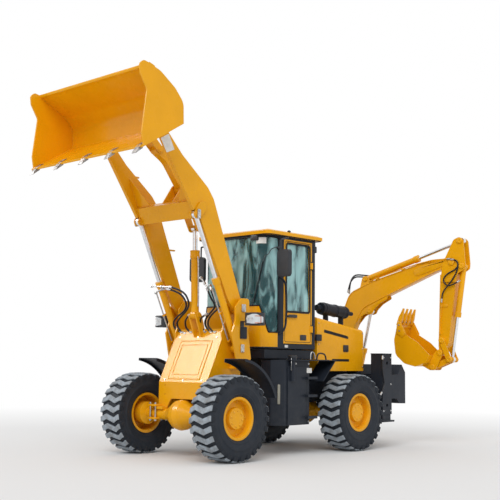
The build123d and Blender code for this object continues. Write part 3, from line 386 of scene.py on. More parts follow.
def closeMesh(name, work, bevel=0.0, sharp=35):
    bmesh.ops.remove_doubles(work, verts=work.verts, dist=1e-6)
    bmesh.ops.recalc_face_normals(work, faces=work.faces)
    if bevel:
        edges = [e for e in work.edges if len(e.link_faces) == 2 and e.calc_face_angle(0) > 0.6]
        bmesh.ops.bevel(work, geom=edges, offset=bevel, segments=2, profile=0.5, affect="EDGES",
                        clamp_overlap=True)
    mesh = bpy.data.meshes.new(name)
    work.to_mesh(mesh)
    work.free()
    mesh.shade_smooth()
    mesh.set_sharp_from_angle(angle=math.radians(sharp))
    return mesh


def addPiece(name, finish, body, maker, *measures):
    return newPiece(name, maker(name, *measures), finish, body)


def spots(points):
    return [spot(*point) for point in points]


def bridge(work, first, second):
    for i in range(len(first)):
        j = (i + 1) % len(first)
        work.faces.new((first[i], first[j], second[j], second[i]))


def addPrism(work, outline, place):
    low = [work.verts.new(place(u, v, 0)) for u, v in outline]
    high = [work.verts.new(place(u, v, 1)) for u, v in outline]
    work.faces.new(low[::-1])
    work.faces.new(high)
    bridge(work, low, high)


def addSides(work, outline, low, high, place=lambda u, v, y: spot(u, y, v)):
    for side in (1, -1):
        addPrism(work, outline, lambda u, v, end: place(u, v, side * (high if end else low)))


def bothSides(profile, x, y, z):
    return [(profile, spot(x, side * y, z), Vector((0, side, 0))) for side in (1, -1)]


axisOrder = {"X": lambda u, v, t: (t, u, v), "Y": lambda u, v, t: (u, t, v), "Z": lambda u, v, t: (u, v, t)}


def axisPlace(axis, side, u, v, level):
    x, y, z = axisOrder[axis](u, v, level)
    return spot(x, y * side, z)


def addLevels(work, outline, axis, low, high, side=1):
    addPrism(work, outline, lambda u, v, end: axisPlace(axis, side, u, v, high if end else low))


def plateMesh(name, outlines, axis, low, high, bevel=0.002, mirrored=False):
    work = bmesh.new()
    for outline in outlines:
        for side in ((1, -1) if mirrored else (1,)):
            addLevels(work, outline, axis, low, high, side)
    return closeMesh(name, work, bevel)


def rect(u0, u1, v0, v1, corner=0.0, steps=4):
    if not corner:
        return [(u0, v0), (u1, v0), (u1, v1), (u0, v1)]
    u0, u1 = sorted((u0, u1))
    v0, v1 = sorted((v0, v1))
    result = []
    for cu, cv, start in ((u1 - corner, v0 + corner, -90), (u1 - corner, v1 - corner, 0),
                          (u0 + corner, v1 - corner, 90), (u0 + corner, v0 + corner, 180)):
        for step in range(steps + 1):
            angle = math.radians(start + 90 * step / steps)
            result.append((cu + corner * math.cos(angle), cv + corner * math.sin(angle)))
    return result


def ringMesh(name, outer, inner, axis, low, high):
    work = bmesh.new()
    loops = [[work.verts.new(axisPlace(axis, 1, u, v, level)) for u, v in outline]
             for outline, level in ((outer, low), (outer, high), (inner, high), (inner, low))]
    for first, second in zip(loops, loops[1:] + loops[:1]):
        bridge(work, first, second)
    return closeMesh(name, work, 0.0015)


# Joins rings of points into a skin; a ring of one point is a tip
def joinRings(work, rings):
    for first, second in zip(rings, rings[1:]):
        steps = max(len(first), len(second))
        for step in range(steps if steps > 1 else 0):
            after = (step + 1) % steps
            if len(first) == 1:
                work.faces.new((first[0], second[after], second[step]))
            elif len(second) == 1:
                work.faces.new((first[step], first[after], second[0]))
            else:
                work.faces.new((first[step], first[after], second[after], second[step]))


def latheInto(work, profile, origin, axis, steps=32):
    axis = axis.normalized()
    side = axis.orthogonal().normalized()
    other = axis.cross(side)
    rings = []
    for radius, height in profile:
        if radius < 1e-6:
            rings.append([work.verts.new(origin + axis * height)])
            continue
        ring = []
        for step in range(steps):
            angle = 2 * math.pi * step / steps
            out = (side * math.cos(angle) + other * math.sin(angle)) * radius
            ring.append(work.verts.new(origin + axis * height + out))
        rings.append(ring)
    joinRings(work, rings)


def latheMesh(name, parts, steps=32, sharp=35):
    work = bmesh.new()
    for profile, origin, axis in parts:
        latheInto(work, [(r / 1000, h / 1000) for r, h in profile], origin, axis, steps)
    return closeMesh(name, work, 0.0, sharp)


def evaluatedMesh(holder):
    bpy.context.view_layer.update()
    return bpy.data.meshes.new_from_object(holder.evaluated_get(bpy.context.evaluated_depsgraph_get()))


def tubeMesh(name, runs, radius, order=3, sides=3, steps=8):
    curve = bpy.data.curves.new(name, "CURVE")
    curve.dimensions = "3D"
    for points in runs:
        spline = curve.splines.new("NURBS")
        spline.points.add(len(points) - 1)
        for control, point in zip(spline.points, points):
            control.co = (*point, 1.0)
        spline.order_u = min(order, len(points))
        spline.use_endpoint_u = True
        spline.resolution_u = steps
    curve.bevel_depth = radius / 1000
    curve.bevel_resolution = sides
    curve.use_fill_caps = True
    holder = linked(name + "Curve", curve)
    raw = evaluatedMesh(holder)
    bpy.data.objects.remove(holder)
    work = bmesh.new()
    work.from_mesh(raw)
    return closeMesh(name, work, 0.0, 50)


# Geometry Nodes group that sets one small piece on every point, turned to the point's own facing
def buildRepeatTree():
    tree = bpy.data.node_groups.new("repeatOnPoints", "GeometryNodeTree")
    sockets = {}
    for name, kind in (("Points", "Geometry"), ("Piece", "Object"), ("Finish", "Material"),
                       ("Spin spread", "Float"),
                       ("Seed", "Int")):
        sockets[name] = tree.interface.new_socket(name=name, in_out="INPUT",
                                                  socket_type="NodeSocket" + kind).identifier
    tree.interface.new_socket(name="Geometry", in_out="OUTPUT", socket_type="NodeSocketGeometry")
    add, link = tree.nodes.new, tree.links.new
    source, result = add("NodeGroupInput"), add("NodeGroupOutput")
    pieceInfo = add("GeometryNodeObjectInfo")
    link(source.outputs["Piece"], pieceInfo.inputs["Object"])
    reads = {}
    for name, kind in (("facing", "FLOAT_VECTOR"), ("along", "FLOAT_VECTOR"), ("size", "FLOAT")):
        reads[name] = add("GeometryNodeInputNamedAttribute")
        reads[name].data_type = kind
        reads[name].inputs["Name"].default_value = name
    upright, aligned = add("FunctionNodeAlignRotationToVector"), add("FunctionNodeAlignRotationToVector")
    upright.axis, aligned.axis, aligned.pivot_axis = "Z", "X", "Z"
    link(reads["facing"].outputs["Attribute"], upright.inputs["Vector"])
    link(upright.outputs[0], aligned.inputs["Rotation"])
    link(reads["along"].outputs["Attribute"], aligned.inputs["Vector"])
    chance = add("FunctionNodeRandomValue")
    turn, spun = add("FunctionNodeAxisAngleToRotation"), add("FunctionNodeRotateRotation")
    chance.data_type = "FLOAT"
    chance.inputs["Min"].default_value = 0.0
    lows = [s for s in chance.inputs if s.type == "VALUE"]
    link(source.outputs["Spin spread"], lows[1])
    link(source.outputs["Seed"], chance.inputs["Seed"])
    turn.inputs["Axis"].default_value = (0, 0, 1)
    link([s for s in chance.outputs if s.type == "VALUE"][0], turn.inputs["Angle"])
    spun.rotation_space = "LOCAL"
    link(aligned.outputs[0], spun.inputs["Rotation"])
    link(turn.outputs[0], spun.inputs["Rotate By"])
    onPoints = add("GeometryNodeInstanceOnPoints")
    realize, paint = add("GeometryNodeRealizeInstances"), add("GeometryNodeSetMaterial")
    link(source.outputs["Points"], onPoints.inputs["Points"])
    link(pieceInfo.outputs["Geometry"], onPoints.inputs["Instance"])
    link(spun.outputs[0], onPoints.inputs["Rotation"])
    link(reads["size"].outputs["Attribute"], onPoints.inputs["Scale"])
    link(onPoints.outputs[0], realize.inputs[0])
    link(realize.outputs[0], paint.inputs["Geometry"])
    link(source.outputs["Finish"], paint.inputs["Material"])
    link(paint.outputs[0], result.inputs[0])
    return tree, sockets


repeatTree, repeatSockets = buildRepeatTree()


def repeatMesh(name, source, rows, finish, spin=0.0, seed=1):
    mesh = bpy.data.meshes.new(name + "Points")
    mesh.from_pydata([row[0] for row in rows], [], [])
    for label, kind, column in (("facing", "FLOAT_VECTOR", 1), ("along", "FLOAT_VECTOR", 2),
                                ("size", "FLOAT", 3)):
        attribute = mesh.attributes.new(label, kind, "POINT")
        for i, row in enumerate(rows):
            if kind == "FLOAT":
                attribute.data[i].value = row[column]
            else:
                attribute.data[i].vector = row[column]
    carrier = linked(name + "Carrier", mesh)
    modifier = carrier.modifiers.new("repeat", "NODES")
    modifier.node_group = repeatTree
    modifier[repeatSockets["Piece"]] = source
    modifier[repeatSockets["Finish"]] = finishes[finish]
    modifier[repeatSockets["Spin spread"]] = spin
    modifier[repeatSockets["Seed"]] = seed
    result = evaluatedMesh(carrier)
    carrier.modifiers.remove(modifier)
    bpy.data.objects.remove(carrier)
    result.name = name
    return result


def localLathe(work, profile, steps):
    angles = [2 * math.pi * step / steps for step in range(steps)]
    rings = []
    for radius, height in profile:
        if radius == 0:
            rings.append([work.verts.new((0, 0, height / 1000))])
        else:
            reach = radius / 1000
            rings.append([work.verts.new((reach * math.cos(angle), reach * math.sin(angle), height / 1000))
                          for angle in angles])
    joinRings(work, rings)


boltLook = {"washer": 15.0, "washerHeight": 3.0, "head": 11.0, "headHeight": 11.0}


def makeBoltSource(look):
    work = bmesh.new()
    washer, high, head, top = look["washer"], look["washerHeight"], look["head"], look["headHeight"]
    localLathe(work, [(0, -2), (washer, -2), (washer, high - 0.6), (washer - 0.8, high), (0, high)], 16)
    localLathe(work, [(0, high - 0.5), (head, high - 0.5), (head, top - 1.5), (head * 0.86, top),
                      (0, top)], 6)
    return linked("boltSource", closeMesh("boltSource", work, 0.0, 30))


boltSource = makeBoltSource(boltLook)


def addBolts(name, rows, finish, body, size=1.0, seed=3):
    table = []
    for place, facing in rows:
        facing = Vector(facing).normalized()
        table.append((spot(*place), facing, facing.orthogonal().normalized(), size))
    mesh = repeatMesh(name, boltSource, table, finish, 1.0, seed)
    return newPiece(name, mesh, finish, body)


# Tyres: a lathed carcass with bent bars across the tread
tyreLook = {
    "radius": 540, "bars": 26, "foot": 14,
    "carcass": [(251, 139), (254, 146), (269, 150), (276, 160), (283, 168), (300, 180), (304, 184),
                (312, 185), (318, 183), (330, 188),
                (372, 193), (388, 195), (392, 192), (420, 191), (455, 189), (480, 184), (498, 176),
                (505, 150), (506, 0)],
    "bar": [
        # across, radius, inner across, inner radius, bend, half width
        (-195, 452, -180, 452, -20, 25), (-196, 470, -178, 470, -20, 29), (-195, 508, -165, 490, -21, 32),
        (-187, 522.5, -160, 493, -22, 33), (-168, 531.5, -150, 494, -20, 34),
        (-93, 536.5, -93, 494, 22, 34),
        (52, 537, 52, 494, -24, 34), (168, 531.5, 150, 494, 19, 34), (187, 522.5, 160, 493, 21, 33),
        (195, 508, 165, 490, 20, 32), (196, 470, 178, 470, 19, 29), (195, 452, 180, 452, 19, 25),
    ],
}
axleX, halfTrack = 1250, 855
wheelPlaces = {"front_left": (axleX, halfTrack, 1), "front_right": (axleX, -halfTrack, -1),
               "rear_left": (-axleX, halfTrack, 1), "rear_right": (-axleX, -halfTrack, -1)}


def makeBarSource(look):
    work = bmesh.new()
    sections = []
    for across, radius, innerAcross, innerRadius, bend, half in look["bar"]:
        draft = look["foot"] / 2
        corners = (
            (across, bend + half, radius), (across, bend - half, radius),
            (innerAcross, bend - half - draft, innerRadius),
            (innerAcross, bend + half + draft, innerRadius),
        )
        sections.append([work.verts.new((x / 1000, y / 1000, z / 1000)) for x, y, z in corners])
    for first, second in zip(sections, sections[1:]):
        bridge(work, first, second)
    work.faces.new(sections[0][::-1])
    work.faces.new(sections[-1])
    bmesh.ops.recalc_face_normals(work, faces=work.faces)
    rims = [e for e in work.edges if len(e.link_faces) == 2 and e.calc_face_angle(0) > 0.7]
    bmesh.ops.bevel(work, geom=rims, offset=0.003, segments=1, profile=0.5, affect="EDGES",
                    clamp_overlap=True)
    mesh = closeMesh("barSource", work, 0.0, 22)
    worn = mesh.attributes.new("wornTop", "FLOAT", "POINT")
    for vertex in mesh.vertices:
        radius = vertex.co.z * 1000
        worn.data[vertex.index].value = 1.0 if radius > 520 else 0.0
    return linked("barSource", mesh)


def makeTyres(look):
    barSource = makeBarSource(look)
    half = look["carcass"]
    profile = half + [(r, -y) for r, y in half[::-1][1:]]
    profile = profile + [profile[0]]
    for name, (x, y, side) in wheelPlaces.items():
        centre = spot(x, y, look["radius"])
        carcass = latheMesh("tyreCarcass_" + name, [(profile, centre, Vector((0, 1, 0)))], 128, 40)
        piece = newPiece("tyreCarcass_" + name, carcass, "tyreSidewall", "wheel_" + name)
        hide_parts("tyre_" + name)
        rows = []
        for step in range(look["bars"]):
            angle = 2 * math.pi * step / look["bars"] + (0.12 if side < 0 else 0.0)
            facing = Vector((math.cos(angle), 0, math.sin(angle)))
            rows.append((centre, facing, Vector((0, side, 0)), 1.0))
        bars = newPiece("tyreBars_" + name, repeatMesh("tyreBars_" + name, barSource, rows, "tyreTread"),
                        "tyreTread",
                        "wheel_" + name)
        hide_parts("tyre_" + name)
    bpy.data.objects.remove(barSource)


makeTyres(tyreLook)
print("tyres made")

hubLook = {"boltCircle": 98, "bolts": 8, "capFace": 118, "ringCircle": 205, "ringBolts": 10, "dishFace": 57}


def makeHubs(look):
    for name, (x, y, side) in wheelPlaces.items():
        rows = []
        for circle, count, face, shift in ((look["boltCircle"], look["bolts"], look["capFace"], 0.2),
                                           (look["ringCircle"], look["ringBolts"], look["dishFace"], 0.0)):
            for step in range(count):
                angle = 2 * math.pi * step / count + shift
                place = (x + circle * math.cos(angle), y + side * face,
                         tyreLook["radius"] + circle * math.sin(angle))
                rows.append((place, (0, side, 0)))
        addBolts("hubBolts_" + name, rows, "yellowPaint", "wheel_" + name, 1.0)
        start = spot(x + 218, y + side * 60, tyreLook["radius"])
        stem = latheMesh("valve_" + name,
                         [([(0, 0), (5, 0), (5, 26), (7, 26), (7, 38), (5, 41), (0, 41)], start,
                                            Vector((0, side, 0)))], 12)
        newPiece("valve_" + name, stem, "castIron", "wheel_" + name)


makeHubs(hubLook)
print("hubs made")


# Hoses, each with a crimped fitting at both ends
def addFittings(name, ends, radius, body):
    parts = []
    for place, direction in ends:
        grip = radius * 1.38
        profile = [(0, -14), (grip * 0.9, -14), (grip * 0.9, 2), (grip, 3), (grip, 12), (grip * 0.88, 14),
                   (grip * 0.88, 18),
                   (grip, 20), (grip, 40), (grip * 0.8, 43), (0, 43)]
        parts.append((profile, place, direction))
    addPiece(name, "zincSteel", body, latheMesh, parts, 14, 30)


def addEnds(name, route, radius, startBody, endBody):
    addFittings(name + "FittingStart", [(route[0], route[1] - route[0])], radius, startBody)
    addFittings(name + "FittingEnd", [(route[-1], route[-2] - route[-1])], radius, endBody)


def addHose(name, route, radius, startBody, endBody):
    mesh = tubeMesh(name, [route], radius)
    if startBody == endBody:
        newPiece(name, mesh, "hoseRubber", startBody)
    else:
        piece = newPiece(name, mesh, "hoseRubber")
        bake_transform(piece)
    addEnds(name, route, radius, startBody, endBody)


loaderHoses = {
    "radius": 13,
    "lift": {
        "loaderHoseRightOne": [(1220, -365, 2202), (1200, -148, 2154), (1140, -72, 2007),
                               (1080, -171, 1906),
                               (1020, -430, 1820), (980, -511, 1727), (955, -455, 1645), (945, -345, 1617)],
        "loaderHoseRightTwo": [(1240, -304, 2225), (1210, -80, 2177), (1150, -13, 2018), (1090, -112, 1917),
                               (1030, -349, 1804), (980, -441, 1726), (955, -375, 1631), (945, -286, 1603)],
        "loaderHoseLeftOne": [(1200, 364, 2186), (1150, 371, 2071), (1080, 414, 1956), (1050, 294, 1882),
                              (1020, 172, 1807),
                              (980, 105, 1731), (955, 147, 1651), (945, 213, 1611)],
        "loaderHoseLeftTwo": [(1200, 418, 2209), (1150, 426, 2069), (1080, 470, 1928), (1050, 331, 1868),
                              (1020, 219, 1793),
                              (980, 162, 1716), (955, 204, 1650), (945, 288, 1610)],
    },
    "tilt": {
        "tiltHoseRight": [(1100, -52, 1855), (1060, -170, 1813), (1010, -240, 1735), (960, -252, 1656),
                          (945, -168, 1615)],
        "tiltHoseLeft": [(1100, 270, 1854), (1060, 118, 1820), (1010, 50, 1744), (960, 58, 1652),
                         (945, 100, 1612)],
    },
}


def makeLoaderHoses(look):
    for group, body in (("lift", "lift_barrels"), ("tilt", "tilt_barrel")):
        for name, points in look[group].items():
            addHose(name, spots(points[::-1]), look["radius"], "front_frame", body)


makeLoaderHoses(loaderHoses)

# Steel pipes that feed the lift cylinders, on each barrel's right side
liftLine = {"base": (805, 1410), "slope": (0.4278, 0.9039), "ahead": 57, "sides": (484, -596),
            "bends": (160, 500, 820, 858), "clips": (130, 520)}


def onLift(distance, aheadBy=0.0):
    (x, z), (slopeX, slopeZ) = liftLine["base"], liftLine["slope"]
    return x + slopeX * distance + slopeZ * aheadBy, z + slopeZ * distance - slopeX * aheadBy


def makeLiftPipes(look):
    ahead = look["ahead"]
    points = [onLift(118, 20), onLift(122, 50)] + [onLift(bend, ahead) for bend in look["bends"]]
    runs = [[spot(x, y, z) for x, z in points] for y in look["sides"]]
    addPiece("liftPipes", "zincSteel", "lift_barrels", tubeMesh, runs, 10)
    work = bmesh.new()
    for y in look["sides"]:
        for far in look["clips"]:
            corners = [onLift(far - 12, 10), onLift(far + 12, 10), onLift(far + 12, 70),
                       onLift(far - 12, 70)]
            addLevels(work, corners, "Y", y - 14, y + 14)
    addPiece("liftPipeClips", "yellowPaint", "lift_barrels", closeMesh, work, 0.003)
    top = points[-1]
    crossings = [
        [spot(top[0], -606, top[1]), spot(1228, -470, 2214), spot(1220, -365, 2202)],
        [spot(1252, -660, 2250), spot(1250, -470, 2236), spot(1240, -304, 2225)],
        [spot(top[0], 470, top[1]), spot(1206, 430, 2214), spot(1200, 418, 2209)],
        [spot(1240, 290, 2317), spot(1214, 330, 2250), spot(1200, 364, 2186)],
    ]
    addPiece("hoseCrossings", "zincSteel", "lift_barrels", tubeMesh, crossings, 11)
    nuts = []
    for run in crossings:
        for place, ahead in ((run[0], run[1]), (run[1], run[2]), (run[-1], run[-2])):
            nuts.append(([(0, -16), (18, -16), (20, -13), (20, 13), (18, 16), (0, 16)], place,
                         ahead - place))
    addPiece("hoseNuts", "zincSteel", "lift_barrels", latheMesh, nuts, 6, 30)
    base, head = spot(1057, 0, 1851), spot(1085, 0, 3010)
    slope = (head - base).normalized()
    gland = [([(52.5, 756), (62, 756), (66, 762), (66, 790), (64, 794), (64, 838), (66, 842), (66, 856),
               (62, 862), (30.8, 862),
               (30.8, 858), (52.5, 858), (52.5, 756)], base, slope)]
    addPiece("tiltGland", "yellowPaint", "tilt_barrel", latheMesh, gland, 40)
    bends = ((110, 0.070), (150, 0.078), (500, 0.078), (740, 0.078), (775, 0.062))
    pipe = [base + slope * d / 1000 + Vector((0.012, y, 0)) for d, y in bends]
    addPiece("tiltPipe", "zincSteel", "tilt_barrel", tubeMesh, [pipe], 9)


makeLiftPipes(liftLine)

coverFittings = [(-345, 1617), (-286, 1603), (-167, 1615), (101, 1612), (214, 1611), (288, 1610)]


def makeCoverFittings(rows):
    profile = [(0, -30), (24, -30), (24, -8), (19, -4), (19, 16), (22, 18), (22, 34), (15, 38), (0, 38)]
    parts = [(profile, spot(938, y, z - 8), Vector((0.65, 0, 0.76))) for y, z in rows]
    addPiece("coverFittings", "zincSteel", "front_frame", latheMesh, parts, 6, 30)


makeCoverFittings(coverFittings)
print("loader hoses made")


coverPlane = {"x": 1258, "z": 955, "back": 320, "rise": 689, "facing": (0.907, 0, 0.421)}


# A place on the front cover's slope, a little proud of it
def onCover(y, z, proud=9.0):
    x = coverPlane["x"] - (z - coverPlane["z"]) * coverPlane["back"] / coverPlane["rise"]
    return x + coverPlane["facing"][0] * proud, y, z + coverPlane["facing"][2] * proud


# Pins, keeper plates, clips and bolts on the loader and its frame
loaderTrim = {
    "keepers": [(771, 846, 1885, 1985), (792, 855, 1360, 1462)], "keeperFaces": (652, 662),
    "keeperBolts": [(808, 1900), (808, 1970), (823, 1375), (823, 1447)],
    "coverBolts": [(-350, 1552), (0, 1552), (350, 1552), (-350, 985), (0, 985), (350, 985)],
    "armClips": [(1640, 1790, 3672, 3694), (958, 1076, 2746, 2766)], "clipFaces": (-520, -560),
    "lampBracket": (744, 865, 1534, 1689, 12), "bracketFaces": (646, 660),
    "armKeepers": [(2270, 4165, 585), (1600, 3090, 602)],
    "label": [(2239, 3960), (2109, 4036), (2009, 3854), (2138, 3794)],
    "rockerHead": [(0, 0), (46, 0), (46, 8), (40, 12), (22, 12), (20, 9), (0, 9)],
    "nipple": [(0, 0), (7, 0), (7, 8), (4, 12), (5, 15), (0, 18)],
}


def makeLoaderTrim(look):
    work = bmesh.new()
    for box in look["keepers"]:
        addSides(work, rect(*box, 10), *look["keeperFaces"])
    addPiece("frameKeepers", "zincSteel", "front_frame", closeMesh, work, 0.002)
    rows = [((x, side * look["keeperFaces"][1], z), (0, side, 0)) for x, z in look["keeperBolts"]
            for side in (1, -1)]
    rows = rows + [(onCover(y, z), coverPlane["facing"]) for y, z in look["coverBolts"]]
    addBolts("frameBolts", rows, "zincSteel", "front_frame", 0.9)
    bead = []
    for inset, proud in ((0, 16), (52, 17)):
        low, high, side = 1006 + inset, 1498 - inset, 296 - inset
        corners = [(-side, low), (side, low), (side, high), (-side, high)]
        for first, second in zip(corners, corners[1:] + corners[:1]):
            bead.append([spot(*onCover(y, z, proud)) for y, z in (first, second)])
    addPiece("coverBeads", "yellowPaint", "front_frame", tubeMesh, bead, 3.5, 2)
    clips = bmesh.new()
    for box in look["armClips"]:
        addLevels(clips, rect(*box, 6), "Y", *look["clipFaces"])
    addPiece("armClips", "yellowPaint", "loader_arms", closeMesh, clips, 0.003)
    work = bmesh.new()
    addSides(work, rect(*look["lampBracket"]), *look["bracketFaces"])
    addPiece("lampBrackets", "charcoalPaint", "front_frame", closeMesh, work, 0.002)

    armKeepers = bmesh.new()
    for cx, cz, reach in look["armKeepers"]:
        addSides(armKeepers, rect(cx - 26, cx + 26, cz - 60, cz + 60, 14), reach, reach + 10)
    rows = [((1600, side * 612, 3090 + rise), (0, side, 0)) for rise in (-42, 42) for side in (1, -1)]
    addPiece("armKeepers", "zincSteel", "loader_arms", closeMesh, armKeepers, 0.002)
    addBolts("armBolts", rows, "zincSteel", "loader_arms", 0.9)

    addPiece("armLabel", "blankLabel", "loader_arms", plateMesh, [look["label"]], "Y", 565.5, 567, 0.0)
    hinge = bothSides(look["rockerHead"], 1335, 114, 3510)
    addPiece("rockerPinHeads", "zincSteel", "loader_arms", latheMesh, hinge, 28)
    grease = bothSides(look["nipple"], 793, 653, 1937) + bothSides(look["nipple"], 805, 653, 1410)
    addPiece("greaseNipples", "zincSteel", "front_frame", latheMesh, grease, 10)


makeLoaderTrim(loaderTrim)


def makeBucketTrim():
    rows = []
    slope = Vector((2339 - 2950, 0, 4036 - 3657)).normalized()
    down = Vector((-0.52, 0, -0.85))
    for y in (-1000, -500, 0, 500, 1000):
        for shift in (-18, 18):
            rows.append(((2890 + slope.x * 20, y + shift, 3722 + slope.z * 20), down))
    addBolts("loaderToothBolts", rows, "wornSteel", "loader_bucket", 0.8)
    pins = bothSides([(0, 0), (50, 0), (50, 8), (44, 12), (18, 12), (16, 9), (0, 9)], 2270, 617, 4165)
    addPiece("bucketPinHeads", "zincSteel", "loader_bucket", latheMesh, pins, 28)


makeBucketTrim()
clampLook = {"y": (395, 545), "z": (470, 640), "reach": 128, "plate": 26, "studs": (-98, 98),
             "across": (420, 520)}


# Plates and through bolts that hold the front axle to its frame
def makeAxleClamps(look):
    work = bmesh.new()
    studs = []
    for side in (1, -1):
        for z in look["z"]:
            corners = rect(axleX - look["reach"], axleX + look["reach"], side * look["y"][0],
                           side * look["y"][1], 0)
            addLevels(work, corners, "Z", z, z + look["plate"])
        for x in look["studs"]:
            for y in look["across"]:
                low, high = look["z"][0] - 26, look["z"][1] + look["plate"] + 26
                profile = [(0, low), (11, low), (11, low + 8), (19, low + 8), (19, look["z"][0]),
                           (11, look["z"][0]),
                           (11, high - 26), (19, high - 26), (19, high - 8), (11, high - 8), (11, high),
                           (0, high)]
                studs.append((profile, spot(axleX + x, side * y, 0), Vector((0, 0, 1))))
    addPiece("axleClampPlates", "yellowPaint", "front_frame", closeMesh, work, 0.003)
    addPiece("axleClampStuds", "zincSteel", "front_frame", latheMesh, studs, 12)


makeAxleClamps(clampLook)
print("loader trim made")

# Headlights: a lens that wraps the lamp's front and outer side, with an amber mark at the corner
lampLook = {"x": (706, 920), "y": (745, 975), "corner": 68, "z": (1718, 1856), "proud": 3}


def lampPath(look, grow):
    x1, y1 = look["x"][1] + grow, look["y"][1] + grow
    corner = look["corner"] + grow
    path = [(x1, look["y"][0] + 72), (x1, y1 - corner - 24)]
    for step in range(9):
        angle = math.radians(90 * step / 8)
        path.append((x1 - corner + corner * math.cos(angle), y1 - corner + corner * math.sin(angle)))
    path = path + [(x1 - corner - 24, y1), (look["x"][0] + 74, y1)]
    return path


def makeHeadlights(look):
    outer, inner = lampPath(look, look["proud"]), lampPath(look, -2)
    z0, z1 = look["z"]
    last = len(outer) - 1
    drop = [34 * max(0.0, i / last - 0.6) / 0.4 + 22 * max(0.0, 0.12 - i / last) / 0.12
            for i in range(len(outer))]
    work = bmesh.new()
    for side in (1, -1):
        loops = []
        for path, z, slant in ((outer, z0, -0.5), (outer, z1, 1), (inner, z1, 1), (inner, z0, -0.5)):
            loops.append([work.verts.new(spot(x, side * y, z - slant * drop[i]))
                          for i, (x, y) in enumerate(path)])
        for a in range(4):
            first, second = loops[a], loops[(a + 1) % 4]
            for i in range(len(outer) - 1):
                work.faces.new((first[i], first[i + 1], second[i + 1], second[i]))
        work.faces.new([loop[0] for loop in loops])
        work.faces.new([loop[-1] for loop in loops][::-1])
    addPiece("lampLenses", "lampLens", "front_frame", closeMesh, work, 0.002)
    grown = lampPath(look, look["proud"] + 1)
    mark = [grown[i] for i in (5, 7, 9, 11)]
    runs = []
    for side in (1, -1):
        low, high = 1734, 1822
        upper = [spot(x, side * y, high) for x, y in mark]
        lower = [spot(x, side * y, low) for x, y in mark[::-1]]
        back = [spot(mark[-1][0], side * mark[-1][1], z) for z in (1800, 1756)]
        runs.append(upper + back + lower)
    addPiece("lampAmber", "amberLens", "front_frame", tubeMesh, runs, 5, 3, 3, 6)
    ribs = []
    for side in (1, -1):
        for z, slant in ((z0, -0.5), (z1, 1)):
            ribs.append([spot(x, side * y, z - slant * drop[i])
                         for i, (x, y) in enumerate(lampPath(look, look["proud"]))])
    addPiece("lampRibs", "blackPlastic", "front_frame", tubeMesh, ribs, 7, 2)
    bowls = []
    for side in (1, -1):
        for y in (838, 900):
            bowls.append(([(0, 0), (24, 0), (26, 3), (26, 6), (0, 6)],
                          spot(look["x"][1] + 1, side * y, 1786), Vector((1, 0, 0))))
    addPiece("lampBowls", "zincSteel", "front_frame", latheMesh, bowls, 24)


makeHeadlights(lampLook)


# Cab: window seals, wiper, handle, grab bars, lamps and blank labels
wall = {"front": 360, "side": 620, "corner": 220, "sill": 2000, "lowSill": 1640, "top": 2938, "step": 335,
        "end": 250}
cornerX, cornerY = wall["front"] - wall["corner"], wall["side"] - wall["corner"]
cornerArc = math.pi / 2 * wall["corner"]


# The windscreen's wall, by the distance along it from the middle
def onWall(along):
    if along < cornerY:
        return wall["front"], along
    if along < cornerY + cornerArc:
        angle = (along - cornerY) / wall["corner"]
        return cornerX + wall["corner"] * math.cos(angle), cornerY + wall["corner"] * math.sin(angle)
    return cornerX - (along - cornerY - cornerArc), wall["side"]


def alongWall(x):
    return cornerY + math.acos((x - cornerX) / wall["corner"]) * wall["corner"]


cabTrim = {
    "sealOuter": (-603, -69, 1917, 2895, 46, 6), "sealInner": (-575, -97, 1945, 2867, 24, 6),
    "beadOuter": (-620, -52, 1512, 2912, 30, 5), "beadInner": (-612, -60, 1520, 2904, 24, 5),
    "dripOuter": (-814, 376, -690, 690, 84, 8), "dripInner": (-800, 362, -676, 676, 72, 8),
    "wiper": [(98, 628, 2800), (175, 636, 2795), (246, 622, 2765), (274, 604, 2690), (306, 565, 2676),
              (326, 542, 2543), (364, 469, 2195), (374, 407, 2010)],
    "blade": [(322, 552, 2600), (352, 505, 2350), (371, 440, 2080)],
    "grabBar": [(70, 616, 2400), (40, 660, 2370), (5, 690, 2300), (-8, 690, 2080), (-8, 690, 1790),
                (20, 670, 1650), (70, 616, 1610)],
}


